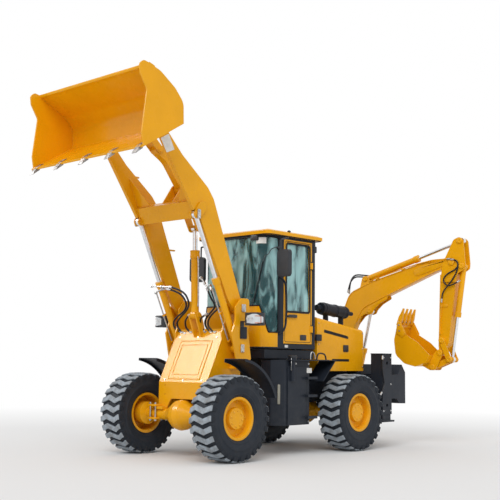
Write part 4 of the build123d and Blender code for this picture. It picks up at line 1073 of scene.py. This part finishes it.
def makeCabTrim(look):
    outer, inner = rect(*look["sealOuter"]), rect(*look["sealInner"])
    addPiece("doorSeal", "sealRubber", "cab_door", ringMesh, outer, inner, "Y", 619, 625)
    work = bmesh.new()
    addLevels(work, rect(-293, -100, 1851, 1893, 12), "Y", 619, 648)
    addLevels(work, rect(-514, -382, 1543, 1620, 10), "Y", 619, 629)
    addPiece("doorLatches", "blackPlastic", "cab_door", closeMesh, work, 0.004)
    bead, beadInner = rect(*look["beadOuter"]), rect(*look["beadInner"])
    addPiece("doorBead", "sealRubber", "cab_door", ringMesh, bead, beadInner, "Y", 619.2, 621.5)

    # Windscreen seals follow the wrapped wall
    end = cornerY + cornerArc + 50
    start, stop = alongWall(wall["step"]), alongWall(wall["end"])
    runs = []
    for z, reach in ((wall["top"], end), (wall["sill"], start)):
        stations = [-reach + 2 * reach * step / 40 for step in range(41)]
        runs.append([spot(onWall(abs(s))[0] + 2,
                          math.copysign(onWall(abs(s))[1] + (2 if abs(s) > cornerY else 0), s), z)
                     for s in stations])
    for side in (1, -1):
        lower = []
        for step in range(9):
            s = start + (stop - start) * step / 8
            x, y = onWall(s)
            lower.append(spot(x + 1, side * (y + 2), wall["sill"] - 360 * step / 8))
        for s in (stop + 20, stop + 60, end - 10, end):
            x, y = onWall(s)
            lower.append(spot(x, side * (y + 2), wall["lowSill"]))
        lower.append(spot(90, side * 622, 1700))
        lower.append(spot(90, side * 622, wall["top"]))
        runs.append(lower)
    addPiece("windscreenSeals", "sealRubber", "rear_frame", tubeMesh, runs, 9, 3, 2, 4)

    addPiece("wiperArm", "blackPlastic", "rear_frame", tubeMesh, [spots(look["wiper"])], 6)
    addPiece("wiperBlade", "sealRubber", "rear_frame", tubeMesh, [spots(look["blade"])], 9, 3, 1)
    motor = [([(0, -8), (20, -8), (20, 12), (14, 20), (0, 20)], spot(98, 620, 2800), Vector((0, 1, 0)))]
    addPiece("wiperPivot", "blackPlastic", "rear_frame", latheMesh, motor, 20)

    work = bmesh.new()
    strip = []
    for step in range(9):
        angle = math.radians(12 + 38 * step / 8)
        strip.append((math.cos(angle), math.sin(angle)))
    for first, second in zip(strip, strip[1:]):
        corners = []
        for radius in (214, 216):
            for (c, s), z in ((first, 2845), (second, 2845), (second, 2935), (first, 2935)):
                corners.append(work.verts.new(spot(cornerX + radius * c, cornerY + radius * s, z)))
        a, b = corners[:4], corners[4:]
        for face in (a[::-1], b, (a[0], a[1], b[1], b[0]), (a[2], a[3], b[3], b[2])):
            work.faces.new(face)
    addPiece("windscreenLabel", "blankLabel", "rear_frame", closeMesh, work)

    bar = look["grabBar"]
    addPiece("grabBar", "charcoalPaint", "rear_frame", tubeMesh, [spots(bar)], 14, 3, 4)
    rightBar = [(x, -y, z) for x, y, z in bar]
    addPiece("grabBarRight", "charcoalPaint", "rear_frame", tubeMesh, [spots(rightBar)], 14, 3, 4)

    addPiece("cabLabel", "blankLabel", "rear_frame", plateMesh, [rect(-126, -58, 1437, 1472, 5)], "Y",
             620, 621.4, 0.0)
    addPiece("rearLamp", "blackPlastic", "rear_frame", plateMesh, [rect(-744, -684, 2797, 2891, 16)], "Y",
             582, 628, 0.006)
    addPiece("rearLampStay", "charcoalPaint", "rear_frame", plateMesh, [rect(-728, -696, 2880, 2968, 6)],
             "Y", 588, 614, 0.003)
    addPiece("doorCatch", "charcoalPaint", "rear_frame", plateMesh, [rect(-850, -735, 1544, 1637, 14)],
             "Y", 604, 640, 0.004, True)
    knob = [([(0, 0), (26, 0), (26, 10), (12, 22), (0, 24)], spot(-110, 640, 3036), Vector((0, 0, 1)))]
    addPiece("roofNub", "blackPlastic", "rear_frame", latheMesh, knob, 20)
    lip, lipInner = rect(*look["dripOuter"]), rect(*look["dripInner"])
    addPiece("roofDrip", "sealRubber", "rear_frame", ringMesh, lip, lipInner, "Z", 2962, 2971)

    # Working lamps under the roof's front and rear edges
    work = bmesh.new()
    for x, facing in ((352, 1), (-790, -1)):
        for y in (-420, 420):
            addLevels(work, rect(y - 62, y + 62, 2888, 2962, 14), "X", x - facing * 14, x + facing * 24)
    addPiece("roofLamps", "blackPlastic", "rear_frame", closeMesh, work, 0.005)


makeCabTrim(cabTrim)
print("cab trim made")


def makeMirrorFaces():
    work = bmesh.new()
    turn = math.radians(-12)
    for side in (1, -1):
        def place(u, v, end):
            depth = -3 if end else 2
            x = 180 + depth * math.cos(turn) - u * math.sin(turn)
            y = 842 + depth * math.sin(turn) + u * math.cos(turn)
            return spot(x, side * y, 2566 + v)
        addPrism(work, rect(-104, 104, -162, 162, 34), place)
    addPiece("mirrorFaces", "mirrorFace", "rear_frame", closeMesh, work, 0.001)


makeMirrorFaces()

# Seat: a sprung base with a padded cushion and back, sewn in panels
seatLook = {"x": (-545, -62), "cushionZ": (1635, 1742), "backTilt": 8.0}


def padMesh(name, halfU, halfV, thick, crown, seams, place, roundness=0.22):
    count = 44
    work = bmesh.new()
    layers = []
    for face in (1, -1):
        grid = []
        for i in range(count + 1):
            row = []
            for j in range(count + 1):
                u, v = 2 * i / count - 1, 2 * j / count - 1
                pull = 1 - 0.035 * (v * v) * abs(u) ** 6
                across = u * halfU * (1 - 0.03 * abs(v) ** 8) * pull
                up = v * halfV * (1 - 0.03 * abs(u) ** 8)
                edge = (1 - abs(u) ** 5) * (1 - abs(v) ** 5)
                height = thick * max(edge, 0.0) ** roundness
                if face > 0:
                    height = height + crown * (1 - u * u) * (1 - v * v)
                    for axis, value, depth in seams:
                        gap = (u if axis == "u" else v) - value
                        height = height - depth * math.exp(-(gap / 0.035) ** 2)
                row.append(work.verts.new(place(across, up, face * height)))
            grid.append(row)
        layers.append(grid)
    for side, grid in enumerate(layers):
        for i in range(count):
            for j in range(count):
                corners = (grid[i][j], grid[i + 1][j], grid[i + 1][j + 1], grid[i][j + 1])
                work.faces.new(corners if side == 0 else corners[::-1])
    bmesh.ops.remove_doubles(work, verts=work.verts, dist=1e-5)
    return closeMesh(name, work, 0.0, 80)


def makeSeat(look):
    centre = sum(look["x"]) / 2
    z = sum(look["cushionZ"]) / 2
    seams = [("u", -0.62, 9), ("u", 0.62, 9), ("v", -0.35, 6), ("v", 0.2, 6)]
    cushion = padMesh("seatCushion", 236, 236, 44, 16, seams, lambda u, v, h: spot(centre + v, u, z + h))
    piece = newPiece("seatCushion", cushion, "seatCloth", "rear_frame")
    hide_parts("seat")
    lean = math.radians(look["backTilt"])

    def backPlace(u, v, h):
        up, out = v + 270, h
        return spot(-478 - up * math.sin(lean) + out * math.cos(lean), u,
                    1724 + up * math.cos(lean) + out * math.sin(lean))

    seams = [("u", -0.6, 8), ("u", 0.6, 8), ("v", -0.45, 6), ("v", -0.05, 6), ("v", 0.36, 6)]
    back = newPiece("seatBack", padMesh("seatBack", 224, 268, 38, 10, seams, backPlace), "seatCloth",
                    "rear_frame")
    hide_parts("seat")
    folds = [(0, 1450), (190, 1450), (196, 1462)]
    for fold in range(5):
        folds = folds + [(176, 1474 + fold * 24), (196, 1486 + fold * 24)]
    folds = folds + [(190, 1600), (0, 1600)]
    addPiece("seatBellows", "sealRubber", "rear_frame", latheMesh,
             [([(r, h - 1450) for r, h in folds], spot(-300, 0, 1450), Vector((0, 0, 1)))], 4, 30)
    addPiece("seatPan", "blackPlastic", "rear_frame", plateMesh, [rect(-530, -80, -205, 205, 30)], "Z",
             1600, 1642, 0.006)


makeSeat(seatLook)
print("seat made")


# Hood, tanks and steps
rearTrim = {
    "slots": [
        [(-956, 1712), (-946, 1690), (-950, 1668), (-1480, 1592), (-1519, 1588), (-1528, 1606),
         (-1500, 1632)],
        [(-1135, 1292), (-1135, 1256), (-1543, 1256), (-1543, 1292)],
    ],
    "slotFaces": (597, 602), "latch": (-1519, -1397, 1397, 1498, 14), "latchFaces": (598, 612),
    "hoodBolts": [(-830, 1180), (-830, 1500), (-830, 1800), (-1880, 1180), (-1880, 1450), (-1880, 1680)],
    "grille": {"bars": 11, "low": 1190, "pitch": 42, "tall": 22, "half": 430, "faces": (-1926, -1940)},
    "chain": [(96, 872, 1296), (120, 894, 1240), (112, 884, 1180), (94, 868, 1130)],
    "grip": {"rows": 18, "columns": 6, "start": (-755, 625), "pitch": (48, 50), "stagger": 24},
    "hoop": [(-433, 880, 1276), (-450, 880, 1350), (-500, 880, 1368), (-590, 880, 1360), (-631, 880, 1332),
             (-640, 880, 1276)],
    "hook": [(-294, 884, 1276), (-294, 884, 1370), (-340, 884, 1386), (-388, 884, 1350), (-392, 884, 1290)],
    "fenderBolts": [(935, 870, 1211), (802, 870, 1133), (880, 700, 1184), (735, 940, 1076)],
}


def makeRearTrim(look):
    # Dark rubber strips on both hood sides stand for the vent slots: painted shade where the slot openings
    # are dark.
    work = bmesh.new()
    for side in (1, -1):
        for corners in look["slots"]:
            addLevels(work, corners, "Y", *look["slotFaces"], side)
    addPiece("hoodSlots", "sealRubber", "rear_frame", closeMesh, work)
    work = bmesh.new()
    addSides(work, rect(*look["latch"]), *look["latchFaces"])
    addPiece("hoodLatches", "blackPlastic", "rear_frame", closeMesh, work, 0.004)
    rows = [((x, side * 600.5, z), (0, side, 0)) for side in (1, -1) for x, z in look["hoodBolts"]]
    addBolts("hoodBolts", rows, "zincSteel", "rear_frame", 0.7)
    grille, slats = bmesh.new(), look["grille"]
    for step in range(slats["bars"]):
        z = slats["low"] + step * slats["pitch"]
        outline = rect(-slats["half"], slats["half"], z, z + slats["tall"], 8)
        addLevels(grille, outline, "X", *slats["faces"])
    addPiece("rearGrille", "charcoalPaint", "rear_frame", closeMesh, grille, 0.002)

    gauge = plateMesh("tankGauge", [rect(-18, 18, 682, 942, 8)], "X", 0, 14, 0.003)
    turn = Matrix.Rotation(math.radians(49.4), 4, "Z")
    gauge.transform(Matrix.Translation(spot(226, 766, 0)) @ turn @ Matrix.Translation(-middle))
    newPiece("tankGauge", gauge, "gaugeFace", "rear_frame")
    addPiece("tankLabel", "blankLabel", "rear_frame", plateMesh, [rect(-400, -291, 1094, 1162, 6)], "Y",
             820, 821.6, 0.0)
    cap = [([(0, -8), (60, -8), (63, -2), (63, 22), (56, 28), (20, 30), (0, 30)], spot(45, 850, 1302),
            Vector((0, 0, 1)))]
    addPiece("fillerCap", "blackPlastic", "rear_frame", latheMesh, cap, 24, 40)
    chain = spots(look["chain"])
    addPiece("fillerChain", "zincSteel", "rear_frame", tubeMesh, [chain], 4)

    # Raised grip bars on the step plates
    grip, bars = bmesh.new(), look["grip"]
    for side in (1, -1):
        for row in range(bars["rows"]):
            for column in range(bars["columns"]):
                x = bars["start"][0] + row * bars["pitch"][0] + (bars["stagger"] if column % 2 else 0)
                y = bars["start"][1] + column * bars["pitch"][1]
                lean = 1 if (row + column) % 2 else -1
                near, far = y - 3 * lean, y + 8 * lean
                corners = [(x - 12, near - 3), (x + 12, far - 3), (x + 12, far + 3), (x - 12, near + 3)]
                addLevels(grip, corners, "Z", 1273, 1277, side)
    addPiece("stepGrip", "charcoalPaint", "rear_frame", closeMesh, grip)
    addPiece("stepHoop", "charcoalPaint", "rear_frame", tubeMesh, [spots(look["hoop"])], 11)
    addPiece("stepHook", "zincSteel", "rear_frame", tubeMesh, [spots(look["hook"])], 7)
    rows = [((x, 820.5, z), (0, 1, 0)) for x in (-330, -60) for z in (440, 1220)]
    rows = rows + [((x, -820.5, z), (0, -1, 0)) for x in (-330, -60, 140) for z in (440, 1220)]
    addBolts("tankBolts", rows, "zincSteel", "rear_frame", 0.9)
    rows = [((x, side * y, z), (x - axleX, 0, z - tyreLook["radius"])) for side in (1, -1)
            for x, y, z in look["fenderBolts"]]
    addBolts("fenderBolts", rows, "zincSteel", "front_frame", 0.9)
    clamps = []
    for share in (0.09, 0.55, 0.93):
        place = spot(-1300 - 605 * share, 250, 2043 - 41 * share)
        clamps.append(([(90, 0), (97, 0), (97, 16), (90, 16), (90, 0)], place, Vector((-605, 0, -41))))
    addPiece("mufflerBands", "charcoalPaint", "rear_frame", latheMesh, clamps, 40)


makeRearTrim(rearTrim)


def makeLegTrim():
    hose = [(x, 1014, z) for x, z in ((-1809, 1334), (-1794, 1183), (-1836, 1016), (-1865, 916),
                                      (-1760, 784))]
    addHose("legHose", spots(hose), 11, "rear_frame", "rear_frame")
    rows = [((x, side * 1000.5, z), (0, side, 0))
            for side in (1, -1) for x in (-2036, -1854) for z in (540, 930, 1320)]
    addBolts("sleeveBolts", rows, "zincSteel", "rear_frame", 0.9)
    caps = bmesh.new()
    for side in (1, -1):
        addLevels(caps, rect(-2068, -1822, 782, 1008, 14), "Z", 1368, 1382, side)
    addPiece("sleeveCaps", "charcoalPaint", "rear_frame", closeMesh, caps, 0.004)


makeLegTrim()
print("rear trim made")

# Digger, drawn in its own plane: along the boom, height, and side
digLook = {"post": (-2740, -500), "heading": 95.0}
digAngle = math.radians(digLook["heading"])
digReach = Vector((math.cos(digAngle), math.sin(digAngle), 0))
digAside = Vector((math.sin(digAngle), -math.cos(digAngle), 0))


def onDigger(along, height, side=0.0):
    return spot(digLook["post"][0], digLook["post"][1],
                height) + (digReach * along + digAside * side) / 1000


# A run of points on the digger, all to one side
def diggerRun(points, side):
    return [onDigger(along, height, side) for along, height in points]


# A bolt's row: its place as spot takes it, and the way it faces
def diggerBolt(along, height, side, facing):
    return tuple((onDigger(along, height, side) - middle) * 1000), facing


diggerHoses = {
    "radius": 11, "side": 112, "rootRadius": 12, "pipeRadius": 8, "stickRadius": 7,
    "roots": {
        "boomHoseOne": (-40, [(170, 2381), (180, 2496), (209, 2611), (286, 2682), (439, 2667),
                              (609, 2643)]),
        "boomHoseTwo": (30, [(189, 2397), (209, 2479), (247, 2576), (324, 2639), (439, 2634), (609, 2618)]),
    },
    "elbows": {
        "dipperHoseOne": [(2032, 2832), (2146, 2826), (2211, 2744), (2163, 2667), (2009, 2604),
                          (1941, 2519),
                          (1988, 2433), (2083, 2417), (2217, 2490)],
        "dipperHoseTwo": [(2089, 2820), (2184, 2815), (2201, 2700), (2152, 2580), (2046, 2444),
                          (1948, 2343),
                          (1924, 2264), (1918, 2185)],
    },
    "pipe": [(620, 2545), (700, 2575), (1440, 2775), (1720, 2824)],
    "outerPipe": [(620, 2545, 84), (700, 2575, 84), (1440, 2775, 84), (1640, 2812, 88), (1800, 2836, 112),
                  (2034, 2833, 112)],
    "stick": [(1924, 2190), (1900, 2100), (1868, 1760), (1880, 1690)],
}


def makeDiggerHoses(look):
    for name, (side, points) in look["roots"].items():
        route = diggerRun(points, side)
        radius = look["rootRadius"]
        addPiece(name, "hoseRubber", "boom", tubeMesh, [route], radius)
        ends = [(route[0], route[1] - route[0]), (route[-1], route[-2] - route[-1])]
        addFittings(name + "Fittings", ends, radius, "boom")
    for name, points in look["elbows"].items():
        addHose(name, diggerRun(points, look["side"]), look["radius"], "boom", "dipper")
    pipes = [diggerRun(look["pipe"], side) for side in (-84, -62)]
    pipes.append([onDigger(*point) for point in look["outerPipe"]])
    addPiece("boomPipes", "yellowPaint", "boom", tubeMesh, pipes, look["pipeRadius"])
    work = bmesh.new()
    for along, height in ((760, 2585), (1230, 2715), (1700, 2812)):
        clip = rect(along - 18, along + 18, height - 14, height + 16)
        addPrism(work, clip, lambda u, v, end: onDigger(u, v, 96 if end else -96))
    addPiece("boomPipeClips", "yellowPaint", "boom", closeMesh, work, 0.003)
    sticks = [diggerRun(look["stick"], side) for side in (84, 102)]
    addPiece("dipperPipes", "yellowPaint", "dipper", tubeMesh, sticks, look["stickRadius"])


makeDiggerHoses(diggerHoses)

pinTable = [
    # body, along, height, reach on each side, head radius
    ("dipper", 2080, 2785, 99, 52), ("dipper", 2218, 3107, 101, 44), ("dipper", 2245, 2718, 97, 44),
    ("dipper", 1909, 1593, 122, 44), ("dig_rocker", 2029, 1306, 116, 44),
    ("dig_bucket", 1739, 1189, 101, 44),
    ("dig_bucket", 1868, 1409, 97, 50), ("swing_post", 110, 1500, 111, 52),
    ("swing_post", 335, 860, 85, 44),
    ("boom", 613, 2079, 67, 44), ("boom", 539, 2595, 75, 42),
]


def makeDiggerPins(rows):
    byBody = {}
    for body, along, height, reach, radius in rows:
        for side in (1, -1):
            profile = [(0, 0), (radius, 0), (radius, 8), (radius - 6, 12), (radius * 0.42, 12),
                       (radius * 0.38, 9), (0, 9)]
            byBody.setdefault(body, []).append((profile, onDigger(along, height, side * reach),
                                                digAside * side))
    for body, parts in byBody.items():
        newPiece("pinHeads_" + body, latheMesh("pinHeads_" + body, parts, 28), "yellowPaint", body)


makeDiggerPins(pinTable)


def makeDiggerTrim():
    rows = [diggerBolt(1206, 1862, step * 122, -digReach) for step in (-1.5, -0.5, 0.5, 1.5)]
    addBolts("digToothBolts", rows, "wornSteel", "dig_bucket", 0.9)
    work = bmesh.new()
    addPrism(work, rect(1878, 2000, 2100, 2146), lambda u, v, end: onDigger(u, v, 84 if end else 76))
    addPiece("dipperClips", "yellowPaint", "dipper", closeMesh, work, 0.003)


makeDiggerTrim()


def roundedPath(points, steps=8):
    path = [points[0][:2]]
    for before, corner, after in zip(points, points[1:], points[2:]):
        p0, p1, p2 = Vector(before[:2]), Vector(corner[:2]), Vector(after[:2])
        inward, outward = (p0 - p1).normalized(), (p2 - p1).normalized()
        half = inward.angle(outward) / 2
        if corner[2] <= 0:
            path.append(tuple(p1))
            continue
        reach = corner[2] / math.tan(half)
        centre = p1 + (inward + outward).normalized() * corner[2] / math.sin(half)
        start, end = p1 + inward * reach - centre, p1 + outward * reach - centre
        for step in range(steps + 1):
            mixed = start.lerp(end, step / steps).normalized() * corner[2]
            path.append(tuple(centre + mixed))
    path.append(points[-1][:2])
    return path


def bandInto(work, path, inset, proud, half, place):
    rows = []
    for i, (u, v) in enumerate(path):
        before, after = path[max(i - 1, 0)], path[min(i + 1, len(path) - 1)]
        along = Vector((after[0] - before[0], after[1] - before[1])).normalized()
        normal = Vector((-along.y, along.x))
        rows.append([work.verts.new(place(u + normal.x * n, v + normal.y * n, s))
                     for n, s in ((-inset, -half), (proud, -half), (proud, half), (-inset, half))])
    for first, second in zip(rows, rows[1:]):
        bridge(work, first, second)
    work.faces.new(rows[0][::-1])
    work.faces.new(rows[-1])


boomLook = {
    "top": [(60, 1700, 0), (60, 1921, 150), (250, 2370, 260), (657, 2540, 300), (1666, 2820, 0)],
    "under": [(2125, 2736, 0), (1795, 2660, 300), (932, 2311, 300), (484, 2119, 260), (330, 1832, 200),
              (232, 1620, 0)],
    "tipPlate": [(1426, 2650, 0), (1440, 2705, 40), (1620, 2768, 200), (1990, 2826, 30), (2020, 2775, 40),
                 (1800, 2690, 200),
                 (1640, 2640, 100), (1470, 2596, 40), (1426, 2650, 0)],
    "eyePlate": [(352, 1860, 0), (484, 2119, 200), (932, 2311, 0), (968, 2268, 30), (800, 2180, 100),
                 (700, 2090, 40),
                 (672, 2030, 40), (613, 2012, 40), (556, 2032, 40), (470, 1990, 60), (352, 1860, 0)],
}


def makeBoomPlates(look):
    work = bmesh.new()
    for name in ("top", "under"):
        bandInto(work, roundedPath(look[name]), 8, 6, 77, onDigger)
    addPiece("boomFlanges", "yellowPaint", "boom", closeMesh, work, 0.002, 40)
    work = bmesh.new()
    for name, low, high in (("tipPlate", 66, 77), ("eyePlate", 58.5, 67)):
        outline = roundedPath(look[name], 5)[:-1]
        addSides(work, outline, low, high, onDigger)
    addPiece("boomPlates", "yellowPaint", "boom", closeMesh, work, 0.002, 40)


makeBoomPlates(boomLook)

toothLook = {"offsets": (-183, -61, 61, 183),
             "profile": [(1188, 1838), (1196, 1828), (1248, 1838), (1284, 1930), (1316, 2078),
                                                         (1308, 2092), (1298, 2092), (1226, 1960)],
             "half": [34, 34, 34, 27, 12, 9, 9, 27]}


def makeDiggerTeeth(look):
    work = bmesh.new()
    for shift in look["offsets"]:
        low = [work.verts.new(onDigger(u, v, shift - h))
               for (u, v), h in zip(look["profile"], look["half"])]
        high = [work.verts.new(onDigger(u, v, shift + h))
                for (u, v), h in zip(look["profile"], look["half"])]
        work.faces.new(low[::-1])
        work.faces.new(high)
        bridge(work, low, high)
    addPiece("digTeeth", "yellowPaint", "dig_bucket", closeMesh, work, 0.003, 30)
    work = bmesh.new()
    cutter = [(1212, 1884), (1262, 1888), (1330, 1760), (1360, 1700), (1300, 1640), (1190, 1700)]
    addSides(work, cutter, 219, 233, onDigger)
    addPiece("sideCutters", "yellowPaint", "dig_bucket", closeMesh, work, 0.003)
    rows = [diggerBolt(u, v, side * 233, digAside * side) for u, v in ((1240, 1830), (1250, 1740))
            for side in (1, -1)]
    rows = rows + [diggerBolt(1232, 1880, shift + side * 34, digAside * side) for shift in look["offsets"]
                   for side in (1, -1)]
    addBolts("cutterBolts", rows, "wornSteel", "dig_bucket", 0.9)


makeDiggerTeeth(toothLook)
print("digger trim made")
bpy.data.objects.remove(boltSource)


# Floor, world and lamps
studio = {"floorShade": 0.80, "fade": (6.0, 13.0), "fill": 0.76, "sun": 1.25,
          "sunFrom": (0.62, 0.45, 0.64), "sunSpread": 35.0,
          "sheenEnergy": 40.0, "sheenPlace": (5.6, -5.2, 6.4), "sheenSize": 4.0, "sheenSpread": 30.0}


def seenDirectly(tree):
    path = tree.nodes.new("ShaderNodeLightPath")
    seen = combine(tree, "MAXIMUM", path.outputs["Is Camera Ray"], path.outputs["Is Glossy Ray"])
    return combine(tree, "MAXIMUM", seen, path.outputs["Is Transmission Ray"])


def makeFloor(look):
    mesh = bpy.data.meshes.new("floor")
    reach = 60
    mesh.from_pydata([(-reach, -reach, 0), (reach, -reach, 0), (reach, reach, 0), (-reach, reach, 0)], [],
                     [(0, 1, 2, 3)])
    floor = linked("floor", mesh)
    material = bpy.data.materials.new("paleFloor")
    material.use_nodes = True
    tree = material.node_tree
    tree.nodes.clear()
    add, link = tree.nodes.new, tree.links.new
    diffuse, glow = add("ShaderNodeBsdfDiffuse"), add("ShaderNodeEmission")
    mix, output = add("ShaderNodeMixShader"), add("ShaderNodeOutputMaterial")
    diffuse.inputs["Color"].default_value = (look["floorShade"],) * 3 + (1,)
    glow.inputs["Color"].default_value = (1, 1, 1, 1)
    reachNode = add("ShaderNodeVectorMath")
    reachNode.operation = "LENGTH"
    link(objectPlace(tree), reachNode.inputs[0])
    far = spread(tree, reachNode.outputs["Value"], look["fade"][0], look["fade"][1])
    link(combine(tree, "MULTIPLY", far, seenDirectly(tree)), mix.inputs[0])
    link(diffuse.outputs[0], mix.inputs[1])
    link(glow.outputs[0], mix.inputs[2])
    link(mix.outputs[0], output.inputs[0])
    mesh.materials.append(material)


def makeWorld(look):
    world = bpy.data.worlds.new("studioWorld")
    bpy.context.scene.world = world
    world.use_nodes = True
    tree = world.node_tree
    tree.nodes.clear()
    add, link = tree.nodes.new, tree.links.new
    background, output = add("ShaderNodeBackground"), add("ShaderNodeOutputWorld")
    link(spread(tree, seenDirectly(tree), 0, 1, look["fill"], 1.0), background.inputs["Strength"])
    background.inputs["Color"].default_value = (1, 1, 1, 1)
    link(background.outputs[0], output.inputs[0])


def makeLamps(look):
    sun = bpy.data.lights.new("softSun", "SUN")
    sun.energy = look["sun"]
    sun.angle = math.radians(look["sunSpread"])
    sunObject = linked("softSun", sun)
    sunObject.rotation_euler = (-Vector(look["sunFrom"])).to_track_quat("-Z", "Y").to_euler()
    sheen = bpy.data.lights.new("sheenPanel", "AREA")
    sheen.energy = look["sheenEnergy"]
    sheen.size = look["sheenSize"]
    panel = linked("sheenPanel", sheen)
    place = Vector(look["sheenPlace"])
    aim = Vector((1.2, 0, 1.2)) - place
    panel.matrix_world = Matrix.Translation(place) @ aim.to_track_quat("-Z", "Y").to_matrix().to_4x4()
    panel.visible_diffuse = False      # a sky panel that only the paint's gloss shows
    sheen.spread = math.radians(look["sheenSpread"])


makeFloor(studio)
makeWorld(studio)
makeLamps(studio)
bpy.context.scene.view_settings.view_transform = "Standard"
print("studio made")
